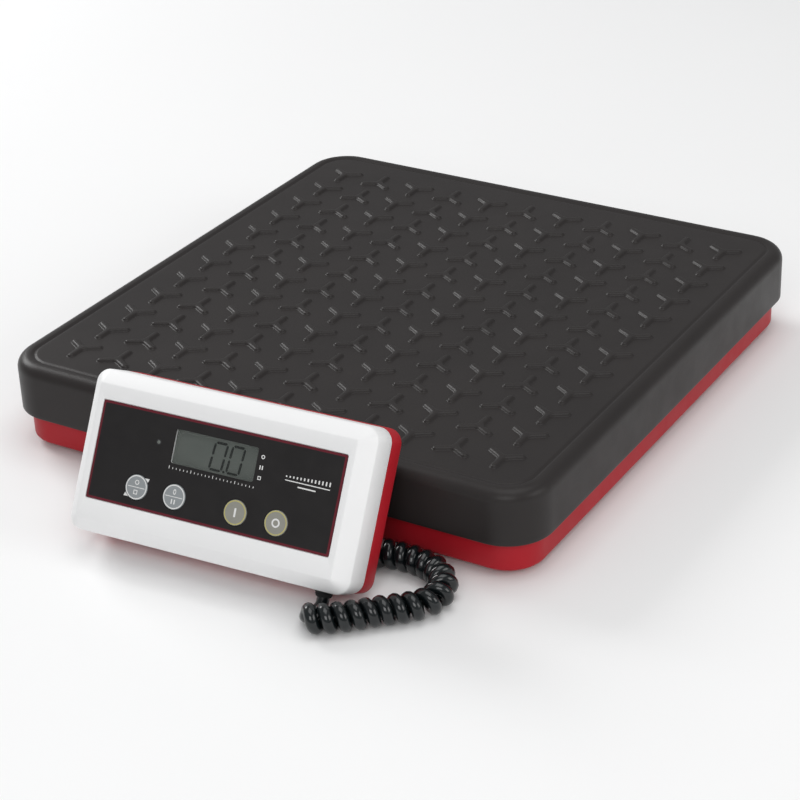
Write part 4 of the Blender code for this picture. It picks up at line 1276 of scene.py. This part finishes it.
def makeWindow(look, figures):
    x, y = look["windowMiddle"]
    pane = newMesh()
    inset = 0.3 * mm
    half = (look["window"][0] - inset, look["window"][1] - inset)
    edge = 0.08 * mm
    addStack(pane, faceLoops(pane, half, (x, y), look["windowCorner"],
                             ((edge, look["front"]), (0, look["front"] + edge),
                              (0, look["back"] - edge), (edge, look["back"]))))
    settle(toObject("clearPane", pane, ["clearWindow"], 30, faceWorld), "display",
           ["lcd_window"])
    panel = newMesh()
    near, far, edge = 2.5 * mm, 5.0 * mm, 0.15 * mm
    wide, tall = 25.2 * mm, 11.2 * mm
    loops = [faceLoop(panel, size, (x, y), radius, depth)
             for size, radius, depth in (((20.9 * mm, 7.3 * mm), 0.8 * mm, near + 0.12 * mm),
                                         ((21.0 * mm, 7.4 * mm), 0.8 * mm, near),
                                         ((wide - edge, tall - edge), 0.4 * mm, near),
                                         ((wide, tall), 0.5 * mm, near + edge),
                                         ((wide, tall), 0.5 * mm, far - edge),
                                         ((wide - edge, tall - edge), 0.4 * mm, far))]
    addFace(panel, loops[0], 0)
    bridge(panel, loops[0], loops[1], 0)
    bridge(panel, loops[1], loops[2], 0)
    for one, two in zip(loops[2:], loops[3:]):
        bridge(panel, one, two, 1)
    addFace(panel, loops[-1], 1)
    settle(toObject("displayPanel", panel, ["lcdGrey", "blackPlastic"], 30, faceWorld), "display",
           ["lcd_panel"])
    ink = newMesh()
    level = -near - 0.12 * mm
    for shift in figures["places"]:
        addZero(ink, (x + shift, y + figures["drop"]), figures, level)
    dotX = x + sum(figures["places"]) / 2 - figures["height"] / 2 * figures["slant"]
    dotY = y + figures["drop"] - figures["height"] / 2
    addInk(ink, circleLoop(dotX, dotY, 0.62 * mm, 16), level)
    settle(toObject("figures", ink, ["lcdInk"], 30, faceWorld), "display")


makeWindow(overlayLook, figureLook)


def keyMarks(name, mesh, level):
    above = 2.3 * mm        # from the line to the mark over it, and to the one under it
    if name in ("units", "zero_hold"):
        addInk(mesh, barOutline((0, 0), (4.6 * mm, 0.16 * mm), 0.08 * mm), level, 1)
    if name == "units":
        addInk(mesh, circleLoop(0, above, 1.15 * mm, 24), level, 1,
               circleLoop(0, above, 0.75 * mm, 24))
        addInk(mesh, barOutline((0, -above), (1.05 * mm, 1.05 * mm)), level, 1,
               barOutline((0, -above), (0.65 * mm, 0.65 * mm)))
    elif name == "zero_hold":
        outer, inner = [[(x * 0.75, above + y * 1.25) for x, y in circleLoop(0, 0, radius * mm, 24)]
                        for radius in (1.05, 0.6)]
        addInk(mesh, outer, level, 1, inner)
        for shift in (-0.75, 0.75):
            addInk(mesh, barOutline((shift * mm, -above), (0.33 * mm, 1.1 * mm)), level, 1)
    elif name == "on":
        addInk(mesh, barOutline((0, 0), (0.5 * mm, 2.1 * mm), 0.35 * mm, 3), level, 1)
    else:
        addInk(mesh, circleLoop(0, 0, 2.1 * mm, 32), level, 1, circleLoop(0, 0, 1.3 * mm, 32))


# in millimetres
switchLook = {
    "body": ((-3.0, -3.0, 0), (3.0, 3.0, 1.7)),
    "cap": ((0, 2.3), (1.4, 2.3), (1.6, 2.1), (1.6, 1.4), (0, 1.4)),
    "pins": 2.2,
    "pinHalf": 0.45,
    "pinRise": (1.5, 1.95),
    "depth": 8.7,
}


def makeSwitch(look):
    switch = newMesh()
    roundedBar(switch, *sized(look["body"]), 0.2 * mm, 0)
    joinMesh(switch, turnedMesh(sized(look["cap"]), 24))
    half, (foot, top) = look["pinHalf"], look["pinRise"]
    for sx in (-1, 1):
        for sy in (-1, 1):      # the corner pins that hold its plate
            x, y = sx * look["pins"], sy * look["pins"]
            roundedBar(switch, *sized(((x - half, y - half, foot), (x + half, y + half, top))),
                       0.12 * mm, 1)
    return switch


def makeKeys(look, switches):
    top, radius, ring, stem = look["height"], look["radius"], look["ring"], look["stem"]
    back = top - 2.1 * mm
    profile = [(0, top), (ring[0], top), (ring[0] + 0.02 * mm, top + 0.02 * mm),
               (ring[1], top + 0.02 * mm), (radius - 0.25 * mm, top),
               (radius - 0.07 * mm, top - 0.08 * mm), (radius, top - 0.3 * mm),
               (radius, back + 0.2 * mm), (radius - 0.2 * mm, back), (stem + 0.4 * mm, back),
               (stem, back - 0.4 * mm), (stem, 0.2 * mm), (stem - 0.2 * mm, 0), (0, 0)]
    slots = [0, 2, 2] + [0] * 10
    for name, (x, y) in look["places"].items():
        plain = name in ("units", "zero_hold")
        face, band = ("keyGrey", "whiteInk") if plain else ("keyWarmGrey", "oliveRing")
        mesh = turnedMesh(profile, look["steps"], slots)
        keyMarks(name, mesh, top)
        place = faceWorld @ Matrix.Translation((x, y, -look["stemEnd"]))
        short = "".join(part.title() for part in name.split("_"))
        settle(toObject("key" + short, mesh, [face, "whiteInk", band], 30, place), "key_" + name,
               ["button_" + name])
        place = faceWorld @ Matrix.Translation((x, y, -switches["depth"] * mm))
        settle(toObject("switch" + short, makeSwitch(switches), ["blackPlastic", "zincSteel"], 30,
                        place), "display", ["switch_" + name])


makeKeys(keyLook, switchLook)
print("display shells, overlay and keys made")


worksLook = {
    "boardHalf": (59.0 * mm, 26.0 * mm),
    "boardDepth": (9.0 * mm, 10.6 * mm),
    "boardCorner": 2.0 * mm,
    "chips": (((22.0, 40.0), (7.0, 3.0)), ((38.0, 52.0), (3.4, 3.4)), ((-50.0, 52.0), (2.6, 4.2)),
              ((40.0, 33.0), (4.0, 1.8)), ((-52.0, 38.0), (2.2, 2.2))),
    "pinPitch": 0.8,
    "pinHalf": (0.2, 0.5),
    "battery": ((-40.0 * mm, 25.0 * mm, -29.1 * mm), (8.5 * mm, 51.5 * mm, -11.6 * mm)),
    "bandEnd": -24.0 * mm,
    "snap": ((8.8 * mm, 26.0 * mm, -28.1 * mm), (14.8 * mm, 50.5 * mm, -12.6 * mm)),
    "leads": ((14.5, 38.2, -20.0, 1.0), (17.5, 38.2, -19.0, 1.4), (20.0, 37.0, -15.0, 1.6),
              (20.5, 33.0, -12.5, 1.2), (20.5, 31.0, -10.4, 0.4)),      # the last is their spread
    "leadApart": 3.0,
    "leadRadius": 0.55 * mm,
    "leadStep": 1.0 * mm,
}


def makeWorks(look, overlay):
    board = newMesh()
    near, far = look["boardDepth"]
    edge = 0.12 * mm
    addStack(board, faceLoops(board, look["boardHalf"], overlay["middle"], look["boardCorner"],
                              ((edge, near), (0, near + edge), (0, far - edge), (edge, far))))
    near, far = near / mm, far / mm
    pitch, (pinX, pinY) = look["pinPitch"], look["pinHalf"]
    for (cx, cy), (hx, hy) in look["chips"]:
        low, high = sized(((cx - hx, cy - hy, -far - 1.6), (cx + hx, cy + hy, -far + 0.1)))
        roundedBar(board, low, high, 0.2 * mm, 1)
        spacing = (2 * hx - 2 * pitch) / max(1, int(hx / pitch) - 1)
        for y in (cy - hy - 0.45, cy + hy + 0.45):
            for number in range(max(2, int(hx / pitch))):
                x = cx - hx + pitch + number * spacing
                low, high = sized(((x - pinX, y - pinY, -far - 0.4), (x + pinX, y + pinY, -far + 0.05)))
                roundedBar(board, low, high, 0.06 * mm, 2, 1)
    settle(toObject("circuitBoard", board, ["solderMask", "blackPlastic", "brass"], 30, faceWorld),
           "display", ["circuit_board"])
    low, high = look["battery"]
    cell = newMesh()
    roundedBar(cell, (look["bandEnd"] - 0.5 * mm, low[1], low[2]), high, 1.3 * mm, 0)
    roundedBar(cell, low, (look["bandEnd"], high[1], high[2]), 1.3 * mm, 1)
    settle(toObject("battery", cell, ["batteryTin", "batteryBand"], 30, faceWorld), "display",
           ["battery"])
    low, high = look["snap"]
    snap = newMesh()
    roundedBar(snap, low, high, 0.9 * mm)
    settle(toObject("batterySnap", snap, ["blackPlastic"], 30, faceWorld), "display",
           ["battery_snap"])
    leads = newMesh()
    for shift in (-look["leadApart"], look["leadApart"]):
        line = smoothRoute([Vector((x, y + shift * spread, z)) * mm
                            for x, y, z, spread in look["leads"]])
        joinMesh(leads, tubeMesh(evenly(line, look["leadStep"]), look["leadRadius"], 10))
    settle(toObject("batteryLeads", leads, ["cordJacket"], 60, faceWorld), "display")


makeWorks(worksLook, overlayLook)


reliefLook = {
    "profile": ((3.02, 3.0), (3.5, 3.0), (3.65, 2.8), (3.75, 2.2), (4.0, 2.0), (4.0, 1.6), (3.85, 1.4),
                (4.3, 0.9), (4.5, 0.5), (4.5, -2.5), (6.1, -2.52), (6.3, -2.7), (6.3, -4.3),
                (6.1, -4.5), (3.02, -4.5), (3.02, 3.0)),
    "steps": 32,
}


# the rubber bush under the display, ridged like the other one
def makeRelief(look):
    mesh = turnedMesh(sized(look["profile"]), look["steps"])
    settle(toObject("displayRelief", mesh, ["blackRubber"], 35, reliefPlace), "display",
           ["display_cord_relief"])


makeRelief(reliefLook)
roundedCopy("display_foot_left", "finPadLeft", "display", "blackRubber", 0.25 * mm)
roundedCopy("display_foot_right", "finPadRight", "display", "blackRubber", 0.25 * mm)
print("display's works made")


stageLook = {
    "halfSize": 6.0,
    "light": {
        "key": ((-1.60, 0.42, 1.08), (0.8, 0.8), 16.0, (1.0, 1.0, 1.0)),
        "top": ((0.25, 0.0, 2.2), (1.8, 1.6), 17.0, (1.0, 1.0, 1.0)),
        "right": ((1.70, 0.15, 0.80), (1.0, 0.8), 6.5, (1.0, 0.99, 0.975)),
        "front": ((0.70, -1.50, 1.05), (1.0, 0.8), 8.5, (1.0, 1.0, 1.0)),
    },
    "lookAt": (0.02, -0.02, 0.03),
    "world": (0.92, 0.93, 0.94),
    "worldStrength": 0.36,
}


def makeStage(look):
    floor = newMesh()
    size = look["halfSize"]
    corners = ((-size, -size, 0), (size, -size, 0), (size, size, 0), (-size, size, 0))
    addFace(floor, addLoop(floor, corners))
    finishes["paleFloor"] = makeFinish("paleFloor", (0.93, 0.93, 0.93), (0.92, 0.92, 0.92), blotch=3.0,
                                       rough=(0.55, 0.62), bump=0.0, specular=0.2)
    item = toObject("paleFloor", floor, ["paleFloor"])
    for name, (place, size, power, colour) in look["light"].items():
        data = bpy.data.lights.new(name + "Light", "AREA")
        data.shape = "RECTANGLE"
        data.size, data.size_y = size
        data.energy, data.color = power, colour
        lamp = bpy.data.objects.new(name + "Light", data)
        scene.collection.objects.link(lamp)
        aim = (Vector(look["lookAt"]) - Vector(place)).to_track_quat("-Z", "Y")
        lamp.matrix_world = Matrix.Translation(place) @ aim.to_matrix().to_4x4()
    world = bpy.data.worlds.new("softRoom")
    world.use_nodes = True
    back = world.node_tree.nodes["Background"]
    back.inputs["Color"].default_value = (*look["world"], 1)
    back.inputs["Strength"].default_value = look["worldStrength"]
    scene.world = world


makeStage(stageLook)
scene.view_settings.view_transform = "Standard"
print("stage lit")
